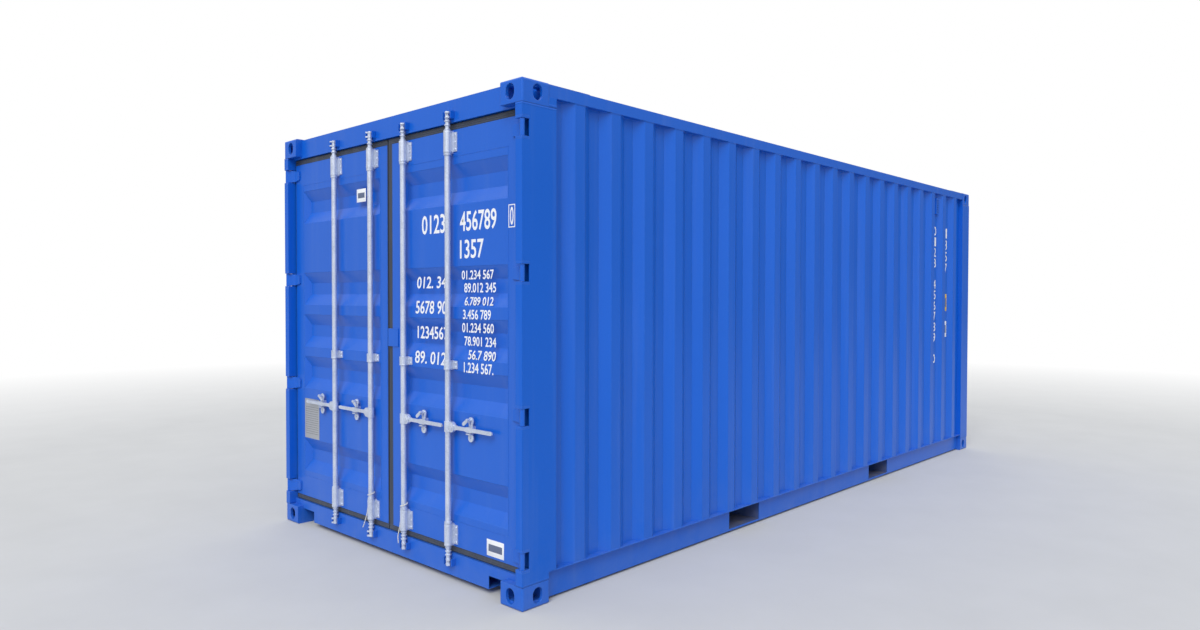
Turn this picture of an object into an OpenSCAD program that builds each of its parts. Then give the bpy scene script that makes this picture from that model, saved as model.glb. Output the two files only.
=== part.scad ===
// Twenty-foot dry freight container, doors at the -X end, standing on its four bottom castings.
// X runs along the container, +Y is the left-hand side seen from outside the doors, Z is up.
// Lengths are millimetres. u is the distance from the door end, s the distance from the centre plane.

/* [Overall] */
// Length over the corner castings
length = 6058; // [5000:1:9000]
// Width over the corner castings
width = 2438; // [2400:1:2600]
// Height over the corner castings
height = 2591; // [2560:1:2900]

/* [Corner castings] */
// Casting length along the container
casting_l = 178; // [170:1:190]
// Casting width across the container
casting_w = 162; // [155:1:175]
// Casting height
casting_h = 118; // [112:1:118]
// Thickness of the slotted face
casting_face_t = 28; // [20:0.5:30]
// Thickness of the other walls of a casting
casting_side_t = 20; // [12:0.5:24]
// Length of the slot in the top or bottom face
slot_l = 124; // [115:0.5:130]
// Width of every slot
slot_w = 63.5; // [50:0.5:66]
// Height of the slots in the end and side faces
port_h = 79.5; // [70:0.5:88]
// Radius of a casting's outer edges
casting_r = 12; // [6:1:16]
// Slot centre from the end of the container
hole_from_end = 102.5; // [95:0.5:105]
// Slot centre from the side of the container
hole_from_side = 89.5; // [85:0.5:95]

/* [Posts and rails] */
// Rear post, along the container
rear_post_l = 230; // [200:1:250]
// Rear post, across the container
rear_post_w = 49; // [49:1:60]
// Plate thickness of all posts
post_t = 6; // [4:0.5:8]
// Inner channel of the rear post, along the container
jbar_l = 113; // [100:1:130]
// Thickness of that channel
jbar_t = 12; // [8:0.5:14]
// Front post, across the container
front_post_w = 86; // [70:1:110]
// Roof rim below the casting tops
roof_clear = 6; // [4:0.5:12]
// Base frame above the casting bottoms
base_clear = 12.5; // [8:0.5:16]
// Side of the square top side rail
top_rail = 60; // [50:1:70]
// Wall of the top side rail
top_rail_t = 3; // [2:0.5:5]
// Set-back of the side rails from the casting faces
rail_set = 3; // [2:0.5:5]
// Height of the bottom side rail
base_rail_h = 145; // [140:1:150]
// Thickness of the bottom side rail
base_rail_t = 4.5; // [3:0.5:6]
// Width of the rail's lower flange
base_rail_flange = 30; // [20:1:45]

/* [Door header and sill] */
// Set-back of header and sill from the door end
header_set = 42; // [42:1:46]
// Depth of the header along the container
header_d = 80; // [70:1:110]
// Height of the header and of the front top rail
header_h = 121; // [118:1:122]
// Plate thickness of header, sill and front rails
header_t = 4; // [3:0.5:6]
// Underside of the sill above the casting bottoms
sill_z = 30; // [20:1:35]
// Height of the sill's outer edge
sill_h = 122; // [121:1:124]
// Depth of the sill along the container
sill_d = 108; // [105:1:125]
// Level part of the sill in front of its ramp
sill_flat = 66; // [60:1:75]
// Level part of the sill behind its ramp
sill_lip = 12; // [8:1:20]
// Width of the notch beside each bottom casting
sill_notch_w = 144; // [100:1:180]
// Height of that notch
sill_notch_h = 70; // [40:1:80]
// Set-back of the front rails from the blind end
front_set = 20; // [10:1:30]
// Depth of the front rails
front_rail_d = 70; // [60:1:90]
// Set-back of the front wall's crests from the front rails
front_wall_set = 3; // [1:0.5:6]

/* [Corrugated walls and roof] */
// Set-back of the side walls' crests from the rails
crest_set = 2.4; // [1:0.1:6]
// Side wall sheet
wall_t = 1.6; // [1.2:0.1:2.4]
// Depth of the side wall corrugation
wall_depth = 36; // [30:1:38]
// Outer flat of the side wall corrugation
wall_outer = 72; // [60:1:90]
// Inner flat of the side wall corrugation
wall_inner = 70; // [60:1:90]
// Slope of the side wall corrugation, along the wall
wall_slope = 68; // [50:1:80]
// Front wall sheet
front_t = 2; // [1.5:0.1:3]
// Depth of the front wall corrugation
front_depth = 44; // [30:1:46]
// Flats of the front wall corrugation
front_flat = 107; // [90:1:120]
// Slope of the front wall corrugation, along the wall
front_slope = 18; // [12:1:30]
// Roof sheet
roof_t = 2; // [1.5:0.1:3]
// Depth of the roof troughs
roof_depth = 20; // [10:1:24]
// Pitch of the roof troughs
roof_pitch = 209; // [180:1:260]
// Width of a trough at its mouth
roof_trough = 118; // [80:1:130]
// Slope of the roof troughs, along the roof
roof_slope = 13.5; // [8:0.5:20]
// Side of the reinforcing plates beside the top castings
corner_plate_l = 300; // [200:1:400]
// Width of those plates
corner_plate_w = 250; // [200:1:300]
// Thickness of those plates
corner_plate_t = 3; // [2:0.5:4]

/* [Floor and base] */
// Plywood floor
floor_t = 28; // [20:1:30]
// Gap between the floor and the bottom side rails
floor_gap = 7; // [2:0.5:20]
// Height of the cross members
cross_h = 122; // [122:1:126]
// Flange width of the cross members
cross_flange = 45; // [35:1:60]
// Thickness of the cross members
cross_t = 4; // [3:0.5:6]
// Pitch of the cross members
cross_pitch = 300; // [250:1:400]
// Undersides of the cross members above the casting bottoms
cross_z = 20; // [18:1:22]
// Forklift pocket width
pocket_w = 360; // [300:1:380]
// Forklift pocket height
pocket_h = 115; // [100:1:115]
// Distance between the pocket centres
pocket_spacing = 2050; // [1800:1:2200]
// Pocket roof plate
pocket_roof_t = 3; // [2:0.5:4]
// Pocket floor strap thickness
pocket_strap_t = 6; // [4:0.5:6]
// Pocket floor strap length
pocket_strap_l = 200; // [150:1:300]

/* [Door leaves] */
// Outer face of the leaves from the door end
leaf_set = 53; // [53:1:60]
// Thickness of the leaf frames
leaf_d = 50; // [40:1:52]
// Wall of the leaf frame tubes
leaf_t = 3; // [2:0.5:5]
// Clearance round the leaves for the gasket
leaf_clear = 5; // [5:0.5:8]
// Width of the visible gasket at the posts
gasket_side = 7; // [5:0.5:12]
// Width of the visible gasket at the header
gasket_end = 32; // [15:1:40]
// Width of the visible gasket at the sill
gasket_low = 31; // [15:1:40]
// Depth of the gasket along the container
gasket_d = 40; // [30:1:44]
// Centre of the seam between the leaves, left of the centre plane
seam_offset = 9; // [0:1:12]
// Half the distance between the two leaf frames
seam_half = 27; // [20:1:30]
// Gasket on the right leaf at the seam
seam_right = 40; // [30:1:42]
// Gasket on the left leaf at the seam
seam_left = 4; // [3:0.5:5]
// Outer stile of a leaf
stile = 102; // [80:1:110]
// Distance of the panel's inner edge from the centre plane
panel_in = 110; // [90:1:120]
// Height of a leaf's top member
leaf_top = 143; // [130:1:160]
// Height of a leaf's bottom member
leaf_bottom = 138; // [130:1:160]
// Door panel sheet
panel_t = 2; // [1.5:0.1:3]
// Depth of the door panel's recesses
recess_depth = 36; // [20:1:40]
// Height of a recess at its mouth
recess_h = 216; // [180:1:225]
// Slope of the recess walls
recess_slope = 70; // [40:1:80]

/* [Hinges] */
// Hinge pin axis from the door end and from the side
pin_in = 14; // [13:0.5:16]
// Hinge pin diameter
pin_d = 14; // [10:0.5:16]
// Outside diameter of the hinge barrel
barrel_d = 24; // [22:0.5:26]
// Height of the hinge blade at the barrel
blade_h = 84; // [60:1:100]
// Height of the hinge blade at its tip
blade_tip_h = 56; // [40:1:80]
// Thickness of the hinge blade
blade_t = 10; // [8:0.5:12]
// Lowest hinge above the leaf's lower edge
hinge_low = 57; // [55:1:120]
// Highest hinge below the leaf's upper edge
hinge_top = 73; // [60:1:120]
// Reach of the blade over the leaf's stile
blade_reach = 57; // [40:1:80]
// Thickness of a hinge lug
lug_t = 14; // [10:0.5:20]
// Depth of the post's hinge notch
notch_l = 48; // [46:1:60]
// Axial clearance between blade and lug
blade_gap = 1; // [0.5:0.5:3]
// Radial clearance of the pin in the barrel
pin_clear = 0.5; // [0.2:0.1:1]
// Radial clearance of the pin in the lugs
pin_seat = 0.2; // [0.1:0.1:0.4]

/* [Locking gear] */
// Rod axis from the door end
rod_in = 22.5; // [21.5:0.5:24]
// Lock rod diameter
rod_d = 32; // [28:0.5:33]
// Wall of the lock rod tube
rod_t = 3; // [2:0.5:5]
// Inner rods from the centre plane
rod_inner = 174; // [160:1:200]
// Outer rods from the centre plane
rod_outer = 596; // [570:1:640]
// Diameter of the forged rod ends
spindle_d = 24; // [18:0.5:25]
// Height of the collars beside the end bearings
collar_h = 12; // [8:1:16]
// Reach of the cam from the rod axis
cam_r = 25; // [22:0.5:28]
// Direction of the cam with the handle closed, from the container's length
cam_turn = 130; // [110:1:140]
// Width of a cam's claws
cam_w = 20; // [12:1:22]
// Height of a cam
cam_h = 34; // [24:1:36]
// Thickness of the two claws of a cam
claw_t = 8; // [5:0.5:10]
// Radius of the boss that carries a claw
claw_boss = 14; // [13:0.5:14.5]
// Radial clearance of the rod in its bearings
rod_clear = 0.8; // [0.4:0.1:1.5]
// Outside diameter of the bearings
bearing_d = 43; // [40:0.5:43]
// Height of the end bearings
bearing_h = 118; // [90:1:130]
// End bearings from the leaf's upper and lower edges
bearing_inset = 7; // [6:1:30]
// Height of the middle bearings
guide_h = 50; // [30:1:60]
// Width of a bearing's foot plate
foot_w = 46; // [38:1:70]
// Thickness of that plate
foot_t = 5; // [4:0.5:8]
// Inside width of a cam keeper
keeper_in = 62; // [60:1:80]
// Thickness of the keeper cheeks
keeper_t = 6; // [5:0.5:14]
// Height of a keeper
keeper_h = 40; // [38:1:60]
// Upper keepers above the header's lower edge
keeper_rise = 18; // [8:1:40]
// Lower keepers above the sill's underside
keeper_low = 58; // [40:1:70]
// Thickness of the keeper's base plate
keeper_base_t = 3; // [2:0.5:3]
// Projection of the keeper cheeks from their base plate
keeper_out = 24; // [20:1:34]
// Reach of a handle from its rod
handle_l = 370; // [300:1:380]
// Thickness of a handle
handle_t = 9; // [6:0.5:10]
// Diameter of the handle's hub
hub_d = 56; // [40:1:60]
// Thickness of the hub
hub_t = 20; // [14:1:24]
// Half height of the handle where the retainer holds it
handle_half = 14; // [10:0.5:16]
// Handle centre line above the casting bottoms
handle_z = 838; // [800:1:860]
// Clearance between handle and retainer
handle_clear = 5; // [5:0.5:8]
// Retainer from the rod axis
retainer_out = 182; // [150:1:220]
// Retainer plate thickness
retainer_t = 6; // [4:0.5:6]
// Retainer plate width
retainer_w = 42; // [34:1:50]
// Retainer plate height
retainer_h = 130; // [120:1:150]
// Catch plate thickness
catch_t = 5; // [4:0.5:5]
// Catch length from pivot to tip
catch_l = 48; // [44:1:50]
// Catch pivot above the handle centre line
catch_up = 52; // [48:1:56]
// Lean of the catch from hanging, at rest
catch_lean = 54; // [52:1:80]
// Catch pivot diameter
catch_pin_d = 8; // [6:0.5:10]
// Clearance on both sides of the catch, along its pivot
catch_gap = 0.5; // [0.3:0.1:0.8]

/* [Small fittings] */
// Tie-back rope diameter
rope_d = 6; // [4:0.5:6]
// Clearance between rope and rod
rope_gap = 0.45; // [0.2:0.05:1]
// Ventilator height
vent_h = 150; // [100:1:200]
// Ventilator width
vent_w = 60; // [40:1:64]
// Ventilator depth
vent_d = 24; // [15:1:30]
// Ventilator shell
vent_t = 2; // [1.5:0.5:4]
// Ventilator below the top side rail
vent_drop = 42; // [20:1:80]
// Data plate width
plate_w = 193; // [150:1:220]
// Data plate height
plate_h = 265; // [200:1:280]
// Data plate thickness
plate_t = 2; // [1:0.5:3]
// Centre tab width
tab_w = 102; // [80:1:103]
// Centre tab height
tab_h = 105; // [80:1:140]
// Centre tab thickness
tab_t = 5; // [3:0.5:6]

/* [Hidden] */
$fn = 48;
paint = [0.10, 0.33, 0.76];
dark_paint = [0.08, 0.26, 0.62];
zinc = [0.78, 0.80, 0.82];
rubber = [0.16, 0.17, 0.18];
ply = [0.62, 0.42, 0.25];
rope_col = [0.86, 0.85, 0.80];
over = 1;                                        // run-out of a cut past the face it opens
SIDES = [1, -1];                                 // 1 is the left leaf, -1 the right leaf

roof_top = height - roof_clear;
rail_top = roof_top - roof_t;                    // top of rails and header, under the roof rim
top_rail_z = rail_top - top_rail;
base_top = base_clear + base_rail_h;             // top of the bottom side rails
rail_face = width/2 - rail_set;                  // outer face of the side rails
wall_crest = rail_face - crest_set;              // outer crests of the side walls
wall_in = wall_crest - wall_depth;               // outer surface of the wall's inner flats
web_in = wall_in - wall_t;                       // inner face of the bottom rail's web
post_bottom = casting_h;
post_top = height - casting_h;
door_half = width/2 - rear_post_w;               // post face from the centre plane
front_half = width/2 - front_post_w;
cross_top = cross_z + cross_h;
floor_top = cross_top + floor_t;
floor_half = web_in - floor_gap;                 // floor edge from the centre plane
pocket_z = cross_top - pocket_roof_t - pocket_h; // floor of the forklift pockets
header_z = rail_top - header_h;
sill_top = sill_z + sill_h;
sill_end = header_set + sill_d;
sill_step = header_set + sill_flat;
front_rail_u = length - front_set - front_rail_d;

wall_start = rear_post_l;
wall_end = length - casting_l;
wall_pitch = wall_outer + wall_inner + 2*wall_slope;
wall_n = floor((wall_end - wall_start - wall_inner) / wall_pitch);

leaf_out = door_half - leaf_clear - gasket_side; // hinge edge of a leaf frame
leaf_z0 = sill_top + leaf_clear + gasket_low;
leaf_z1 = header_z - leaf_clear - gasket_end;
function leaf_in(side) = seam_half + side*seam_offset;
panel_out = leaf_out - stile;
panel_z0 = leaf_z0 + leaf_bottom;
panel_z1 = leaf_z1 - leaf_top;
// Recess centres, as shares of the panel's height from its foot
recess_at = [0.074, 0.359, 0.502, 0.645, 0.924];
function recess_z(i) = panel_z0 + recess_at[i]*(panel_z1 - panel_z0);

hinge_n = 4;
function hinge_z(i) =
    leaf_z0 + hinge_low + i*(leaf_z1 - hinge_top - leaf_z0 - hinge_low)/(hinge_n - 1);
notch_h = blade_h + 2*blade_gap + 2*lug_t;
pin_s = width/2 - pin_in;

ROD_S = [rod_outer, rod_inner];
rod_r = rod_d/2;
bearing_top_z = leaf_z1 - bearing_inset - bearing_h;
bearing_low_z = leaf_z0 + bearing_inset;
guide_z = (recess_z(1) + recess_z(2))/2;
keeper_top_z = header_z + keeper_rise;
keeper_low_z = sill_z + keeper_low;
handle_u0 = rod_in - handle_t/2;
retainer_u = rod_in + handle_t/2 + handle_clear; // front of the retainer plate
catch_u = handle_u0 - handle_clear - catch_t;
catch_z = handle_z + catch_up;

module at_door() translate([-length/2, 0, 0]) children();
module on_side(side) mirror([0, side > 0 ? 0 : 1, 0]) children();
module both_sides() for (side = SIDES) on_side(side) children();
module at_corners()
    for (end = [0, 1], side = SIDES)
        mirror([end, 0, 0]) on_side(side) translate([-length/2, width/2, 0]) mirror([0, 1, 0]) children();

// Slot with round ends, long axis along x, centred
module slot(l, w, t) {
    cube([l - w, w, t], center = true);
    for (end = [-1, 1]) translate([end*(l - w)/2, 0, 0]) cylinder(d = w, h = t, center = true);
}

// Rectangular tube round the x and z ranges given, running along y from y0 to y1
module tube_y(x0, x1, z0, z1, y0, y1, t)
    difference() {
        translate([x0, y0, z0]) cube([x1 - x0, y1 - y0, z1 - z0]);
        translate([x0 + t, y0 - over, z0 + t]) cube([x1 - x0 - 2*t, y1 - y0 + 2*over, z1 - z0 - 2*t]);
    }

// Rectangle with its corner at the origin rounded
module eased(a, b) {
    translate([casting_r, 0]) square([a - casting_r, b]);
    translate([0, casting_r]) square([a, b - casting_r]);
    translate([casting_r, casting_r]) circle(r = casting_r);
}
module casting() {
    cut = casting_side_t + 2*over;
    difference() {
        intersection() {
            linear_extrude(casting_h) eased(casting_l, casting_w);
            rotate([90, 0, 90]) linear_extrude(casting_l) eased(casting_w, casting_h);
            translate([0, casting_w, 0]) rotate([90, 0, 0]) linear_extrude(casting_w)
                eased(casting_l, casting_h);
        }
        translate([casting_side_t, casting_side_t, casting_face_t])
            cube([casting_l - 2*casting_side_t, casting_w - 2*casting_side_t,
                  casting_h - casting_face_t - casting_side_t]);
        translate([hole_from_end, hole_from_side, casting_face_t/2])
            slot(slot_l, slot_w, casting_face_t + 2*over);
        translate([casting_side_t/2, hole_from_side, casting_h/2])
            rotate([0, 90, 0]) slot(port_h, slot_w, cut);
        translate([hole_from_end, casting_side_t/2, casting_h/2])
            rotate([0, 0, 90]) rotate([0, 90, 0]) slot(port_h, slot_w, cut);
    }
}
module bottom_corner_castings() color(paint) at_corners() casting();
module top_corner_castings()
    color(paint) at_corners() translate([0, 0, height]) mirror([0, 0, 1]) casting();

// Space taken by the castings, for pieces that are cut round them
module casting_space()
    at_corners() for (z = [-over, post_top]) translate([-over, -over, z])
        cube([casting_l + over, casting_w + over, casting_h + over]);

module rear_post_section()
    difference() {
        square([rear_post_l, rear_post_w]);
        translate([post_t, post_t])
            square([jbar_l - jbar_t - post_t, rear_post_w - jbar_t - post_t]);
        translate([jbar_l, post_t])
            square([rear_post_l - post_t - jbar_l, rear_post_w - 2*post_t]);
    }

// Plan frame of a post: x is u, y runs inward from the side face
module at_side_face(side) at_door() on_side(side) translate([0, width/2, 0]) mirror([0, 1, 0]) children();

module rear_post(side)
    color(paint) at_side_face(side) difference() {
        translate([0, 0, post_bottom]) linear_extrude(post_top - post_bottom) rear_post_section();
        translate([casting_l, -over, 0]) cube([rear_post_l, rear_post_w + 2*over, base_top]);
        for (i = [0 : hinge_n - 1])
            translate([-over, -over, hinge_z(i) - notch_h/2])
                cube([notch_l + over, rear_post_w + 2*over, notch_h]);
    }
module rear_post_right() rear_post(-1);
module rear_post_left() rear_post(1);

// Stubs of the posts' inner channel, beside the castings and under the top side rails
module rear_post_heads()
    color(paint) for (side = SIDES) at_side_face(side)
        translate([0, 0, post_top]) linear_extrude(top_rail_z - post_top) intersection() {
            rear_post_section();
            translate([casting_l, 0]) square([rear_post_l - casting_l, rear_post_w]);
        }

module front_posts()
    color(paint) mirror([1, 0, 0]) for (side = SIDES) at_side_face(side) difference() {
        translate([0, 0, post_bottom]) cube([casting_l, front_post_w, post_top - post_bottom]);
        translate([post_t, post_t, post_bottom - over])
            cube([casting_l - 2*post_t, front_post_w - 2*post_t, post_top - post_bottom + 2*over]);
    }

module door_header()
    color(paint) difference() {
        at_door() tube_y(header_set, header_set + header_d, header_z, rail_top,
                         -door_half, door_half, header_t);
        casting_space();
    }

// Sill outline in u and z, shrunk inward by t
module sill_outline(t)
    polygon([[header_set + t, sill_z + t], [sill_end - t, sill_z + t], [sill_end - t, floor_top - t],
             [sill_end - sill_lip - t/2, floor_top - t], [sill_step + t/2, sill_top - t],
             [header_set + t, sill_top - t]]);
module door_sill()
    color(paint) difference() {
        at_door() rotate([90, 0, 0]) linear_extrude(2*door_half, center = true) sill_outline(0);
        at_door() rotate([90, 0, 0]) linear_extrude(2*door_half + 2*over, center = true)
            sill_outline(header_t);
        casting_space();
        at_door() both_sides() translate([0, width/2 - casting_w - sill_notch_w, 0])
            cube([sill_end + over, sill_notch_w, sill_z + sill_notch_h]);
    }

module front_rail(z0, z1)
    color(paint) difference() {
        at_door() tube_y(front_rail_u, front_rail_u + front_rail_d, z0, z1,
                         -front_half, front_half, header_t);
        casting_space();
    }
module front_rails() {
    front_rail(header_z, rail_top);
    front_rail(sill_z, base_top);
}

// Runs an outline in y and z along x between the castings
module along_side(side)
    on_side(side) translate([casting_l - length/2, 0, 0]) rotate([90, 0, 90])
        linear_extrude(length - 2*casting_l) children();

module top_side_rails()
    color(paint) for (side = SIDES) along_side(side) translate([rail_face - top_rail, top_rail_z])
        difference() {
            square(top_rail);
            translate([top_rail_t, top_rail_t]) square(top_rail - 2*top_rail_t);
        }

// Centres of the two forklift pockets along the container
POCKET_X = [-pocket_spacing/2, pocket_spacing/2];

// Section of a bottom side rail in y and z: web, ledge under the wall, inner flange
module bottom_rail_section() {
    translate([web_in, base_clear]) square([base_rail_t, base_rail_h]);
    translate([web_in, base_top - base_rail_t]) square([rail_face - web_in, base_rail_t]);
    translate([web_in + base_rail_t - base_rail_flange, base_clear])
        square([base_rail_flange, base_rail_t]);
}
module pocket_span(side, z, h)
    on_side(side) for (x = POCKET_X) translate([x - pocket_w/2, 0, z]) cube([pocket_w, width, h]);
module bottom_side_rails()
    color(paint) for (side = SIDES) difference() {
        along_side(side) bottom_rail_section();
        pocket_span(side, 0, height);
    }
// The rails' lintels and sills over and under the pocket mouths
module pocket_mouths()
    color(paint) for (side = SIDES) difference() {
        intersection() {
            along_side(side) bottom_rail_section();
            pocket_span(side, 0, height);
        }
        pocket_span(side, pocket_z, pocket_h);
    }

// Points of a folded sheet's outer face: flats at low, ridges at high
function fold(from, to, first, n, ridge, flat, slope, low, high) = concat(
    [[from, low]],
    [for (k = [0 : n - 1], p = [[0, low], [slope, high], [slope + ridge, high], [2*slope + ridge, low]])
        [from + first + k*(ridge + flat + 2*slope) + p[0], p[1]]],
    [[to, low]]);
module folded_sheet(points, t)
    polygon(concat(points, [for (i = [len(points) - 1 : -1 : 0]) points[i] - [0, t]]));

module side_wall(side)
    color(paint) on_side(side) translate([-length/2, 0, base_top])
        linear_extrude(top_rail_z - base_top)
            folded_sheet(fold(wall_start, wall_end, wall_inner, wall_n, wall_outer, wall_inner,
                              wall_slope, wall_in, wall_crest), wall_t);
module side_wall_right() side_wall(-1);
module side_wall_left() side_wall(1);

module front_wall() {
    pitch = 2*front_flat + 2*front_slope;
    n = floor((2*front_half + front_flat - 2*front_slope) / pitch);
    first = (2*front_half - n*pitch + front_flat)/2;
    crest = length/2 - front_set - front_wall_set;
    color(paint) translate([0, 0, base_top]) linear_extrude(header_z - base_top)
        mirror([1, 0]) rotate(90)
            folded_sheet(fold(-front_half, front_half, first, n, front_flat, front_flat,
                              front_slope, crest - front_depth, crest), front_t);
}

// A trough of the roof, grown by g on every face
module roof_dish(g) {
    half = roof_trough/2;
    reach = rail_face - top_rail - roof_depth;
    intersection() {
        rotate([90, 0, 0]) linear_extrude(width, center = true)
            polygon([[-half - g, over], [-half - g, 0], [roof_slope - half - g, -roof_depth - g],
                     [half - roof_slope + g, -roof_depth - g], [half + g, 0], [half + g, over]]);
        rotate([90, 0, 90]) linear_extrude(2*roof_trough, center = true)
            polygon([[-reach - g, over], [-reach - g, 0], [roof_slope - reach - g, -roof_depth - g],
                     [reach - roof_slope + g, -roof_depth - g], [reach + g, 0], [reach + g, over]]);
    }
}
module roof_panel() {
    edge = rail_face - header_t;
    clear = casting_l + corner_plate_l + roof_trough/2;
    n = floor((length - 2*clear)/roof_pitch);
    start = -n*roof_pitch/2;
    color(paint) difference() {
        union() {
            translate([casting_l - length/2, -edge, rail_top])
                cube([length - 2*casting_l, 2*edge, roof_t]);
            for (i = [0 : n]) translate([start + i*roof_pitch, 0, roof_top])
                difference() {
                    roof_dish(roof_t);
                    translate([-roof_trough, -width/2, 0]) cube([2*roof_trough, width, 2*over]);
                }
        }
        for (i = [0 : n]) translate([start + i*roof_pitch, 0, roof_top]) roof_dish(0);
    }
}
// Flat strips of the roof over the header and the front rail, between the castings
module roof_ends() {
    edge = width/2 - casting_w;
    color(paint) for (at = [[header_set + header_t, casting_l],
                            [length - casting_l, length - front_set - header_t]])
        translate([at[0] - length/2, -edge, rail_top]) cube([at[1] - at[0], 2*edge, roof_t]);
}
module roof_corner_plates()
    color(paint) at_corners() translate([casting_l, 2*header_t, roof_top])
        cube([corner_plate_l, corner_plate_w, corner_plate_t]);

module floor_boards()
    color(ply) difference() {
        translate([sill_end - length/2, -floor_half, cross_top])
            cube([front_rail_u - sill_end, 2*floor_half, floor_t]);
        both_sides() translate([wall_end - length/2 - over, front_half - over, cross_top - over])
            cube([casting_l, front_post_w, floor_t + 2*over]);
    }

module cross_member()
    translate([0, -web_in, cross_z]) difference() {
        cube([cross_flange, 2*web_in, cross_h]);
        translate([cross_t, -over, cross_t])
            cube([cross_flange, 2*web_in + 2*over, cross_h - 2*cross_t]);
    }
module cross_members() {
    from = rear_post_l - length/2;
    to = length/2 - casting_l - cross_flange;
    n = floor((to - from)/cross_pitch);
    keep_out = pocket_w/2 + 2*cross_flange;
    color(dark_paint) for (i = [0 : n]) {
        x = from + i*(to - from)/n;
        if (min([for (p = POCKET_X) abs(x + cross_flange/2 - p)]) > keep_out)
            translate([x, 0, 0]) cross_member();
    }
}

// Forklift pockets: a roof plate, two side channels and a strap near each mouth
module pocket_roofs()
    color(dark_paint) for (x = POCKET_X) translate([x - pocket_w/2, -web_in, cross_top - pocket_roof_t])
        cube([pocket_w, 2*web_in, pocket_roof_t]);
module pocket_sides()
    color(dark_paint) for (x = POCKET_X, end = [0, 1])
        translate([x, -web_in, pocket_z - pocket_strap_t]) mirror([end, 0, 0]) translate([pocket_w/2, 0, 0]) {
            cube([cross_t, 2*web_in, cross_top - pocket_z + pocket_strap_t]);
            cube([cross_flange, 2*web_in, cross_t]);
        }
module pocket_straps()
    color(dark_paint) both_sides() for (x = POCKET_X)
        translate([x - pocket_w/2, web_in - pocket_strap_l, pocket_z - pocket_strap_t])
            cube([pocket_w, pocket_strap_l, pocket_strap_t]);

module cam_keeper()
    difference() {
        translate([-keeper_out, -keeper_in/2 - keeper_t, 0])
            cube([keeper_out + keeper_base_t, keeper_in + 2*keeper_t, keeper_h]);
        translate([-keeper_out - over, -keeper_in/2, -over])
            cube([keeper_out + over, keeper_in, keeper_h + 2*over]);
    }
module cam_keepers()
    color(paint) at_door() both_sides() for (s = ROD_S, z = [keeper_low_z, keeper_top_z])
        translate([header_set - keeper_base_t, s, z]) cam_keeper();

module hinge_lugs()
    color(paint) for (side = SIDES) at_side_face(side)
        for (i = [0 : hinge_n - 1], end = [0, 1])
            translate([0, 0, hinge_z(i)]) mirror([0, 0, end])
                translate([0, 0, blade_h/2 + blade_gap]) difference() {
                    cube([notch_l, rear_post_w, lug_t]);
                    translate([pin_in, pin_in, -over])
                        cylinder(d = pin_d + 2*pin_seat, h = lug_t + 2*over);
                }
module hinge_pins()
    color(zinc) for (side = SIDES) at_side_face(side) for (i = [0 : hinge_n - 1])
        translate([pin_in, pin_in, hinge_z(i) - notch_h/2]) cylinder(d = pin_d, h = notch_h);

module ventilator()
    difference() {
        translate([-vent_w/2, 0, 0]) cube([vent_w, vent_d, vent_h]);
        translate([vent_t - vent_w/2, -over, vent_t])
            cube([vent_w - 2*vent_t, vent_d - vent_t + over, vent_h - 2*vent_t]);
        for (i = [1 : 6]) translate([-vent_w/3, vent_d/2, i*vent_h/7 - vent_h/56])
            cube([2*vent_w/3, vent_d, vent_h/28]);
    }
// One on each side, in an inner flat of the wall near opposite ends
module ventilators()
    color(paint) for (at = [[-1, wall_n - 2], [1, 2]])
        on_side(at[0])
            translate([wall_start - length/2 + wall_inner/2 + at[1]*wall_pitch, wall_in,
                       top_rail_z - vent_drop - vent_h])
                ventilator();

// Door leaves
module leaf_box(side, u0, u1, s0, s1, z0, z1)
    at_door() on_side(side) translate([u0, s0, z0]) cube([u1 - u0, s1 - s0, z1 - z0]);

module door_frame(side) {
    u1 = leaf_set + leaf_d;
    color(paint) difference() {
        leaf_box(side, leaf_set, u1, leaf_in(side), leaf_out, leaf_z0, leaf_z1);
        leaf_box(side, leaf_set - over, u1 + over, panel_in, panel_out, panel_z0, panel_z1);
        difference() {
            leaf_box(side, leaf_set + leaf_t, u1 - leaf_t, leaf_in(side) + leaf_t, leaf_out - leaf_t,
                     leaf_z0 + leaf_t, leaf_z1 - leaf_t);
            leaf_box(side, leaf_set, u1, panel_in - leaf_t, panel_out + leaf_t,
                     panel_z0 - leaf_t, panel_z1 + leaf_t);
        }
        // drain holes in the bottom member
        at_door() on_side(side) for (s = ROD_S) translate([leaf_set + leaf_d/2, s, leaf_z0 - over])
            cylinder(d = 2*leaf_t + 2, h = leaf_t + 2*over);
    }
}
module right_door_frame() door_frame(-1);
module left_door_frame() door_frame(1);

// A pressed recess with sloped walls, grown by g on every face
module recess(i, g) {
    mid = (panel_in + panel_out)/2;
    half_s = (panel_out - panel_in)/2 - 2*panel_t;
    half_z = recess_h/2;
    intersection() {
        translate([0, mid, recess_z(i)]) rotate([90, 0, 0])
            linear_extrude(panel_out - panel_in, center = true)
                polygon([[-over, -half_z - g], [0, -half_z - g],
                         [recess_depth + g, recess_slope - half_z - g],
                         [recess_depth + g, half_z - recess_slope + g], [0, half_z + g], [-over, half_z + g]]);
        translate([0, mid, recess_z(i)]) linear_extrude(2*recess_h, center = true)
            polygon([[-over, -half_s - g], [0, -half_s - g],
                     [recess_depth + g, recess_depth - half_s - g],
                     [recess_depth + g, half_s - recess_depth + g], [0, half_s + g], [-over, half_s + g]]);
    }
}
module door_panel(side)
    color(paint) at_door() on_side(side) translate([leaf_set, 0, 0]) difference() {
        union() {
            translate([0, panel_in, panel_z0])
                cube([panel_t, panel_out - panel_in, panel_z1 - panel_z0]);
            for (i = [0 : len(recess_at) - 1]) intersection() {
                recess(i, panel_t);
                translate([0, panel_in, 0]) cube([leaf_d, panel_out - panel_in, height]);
            }
        }
        for (i = [0 : len(recess_at) - 1]) recess(i, 0);
    }
module right_door_panel() door_panel(-1);
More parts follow.
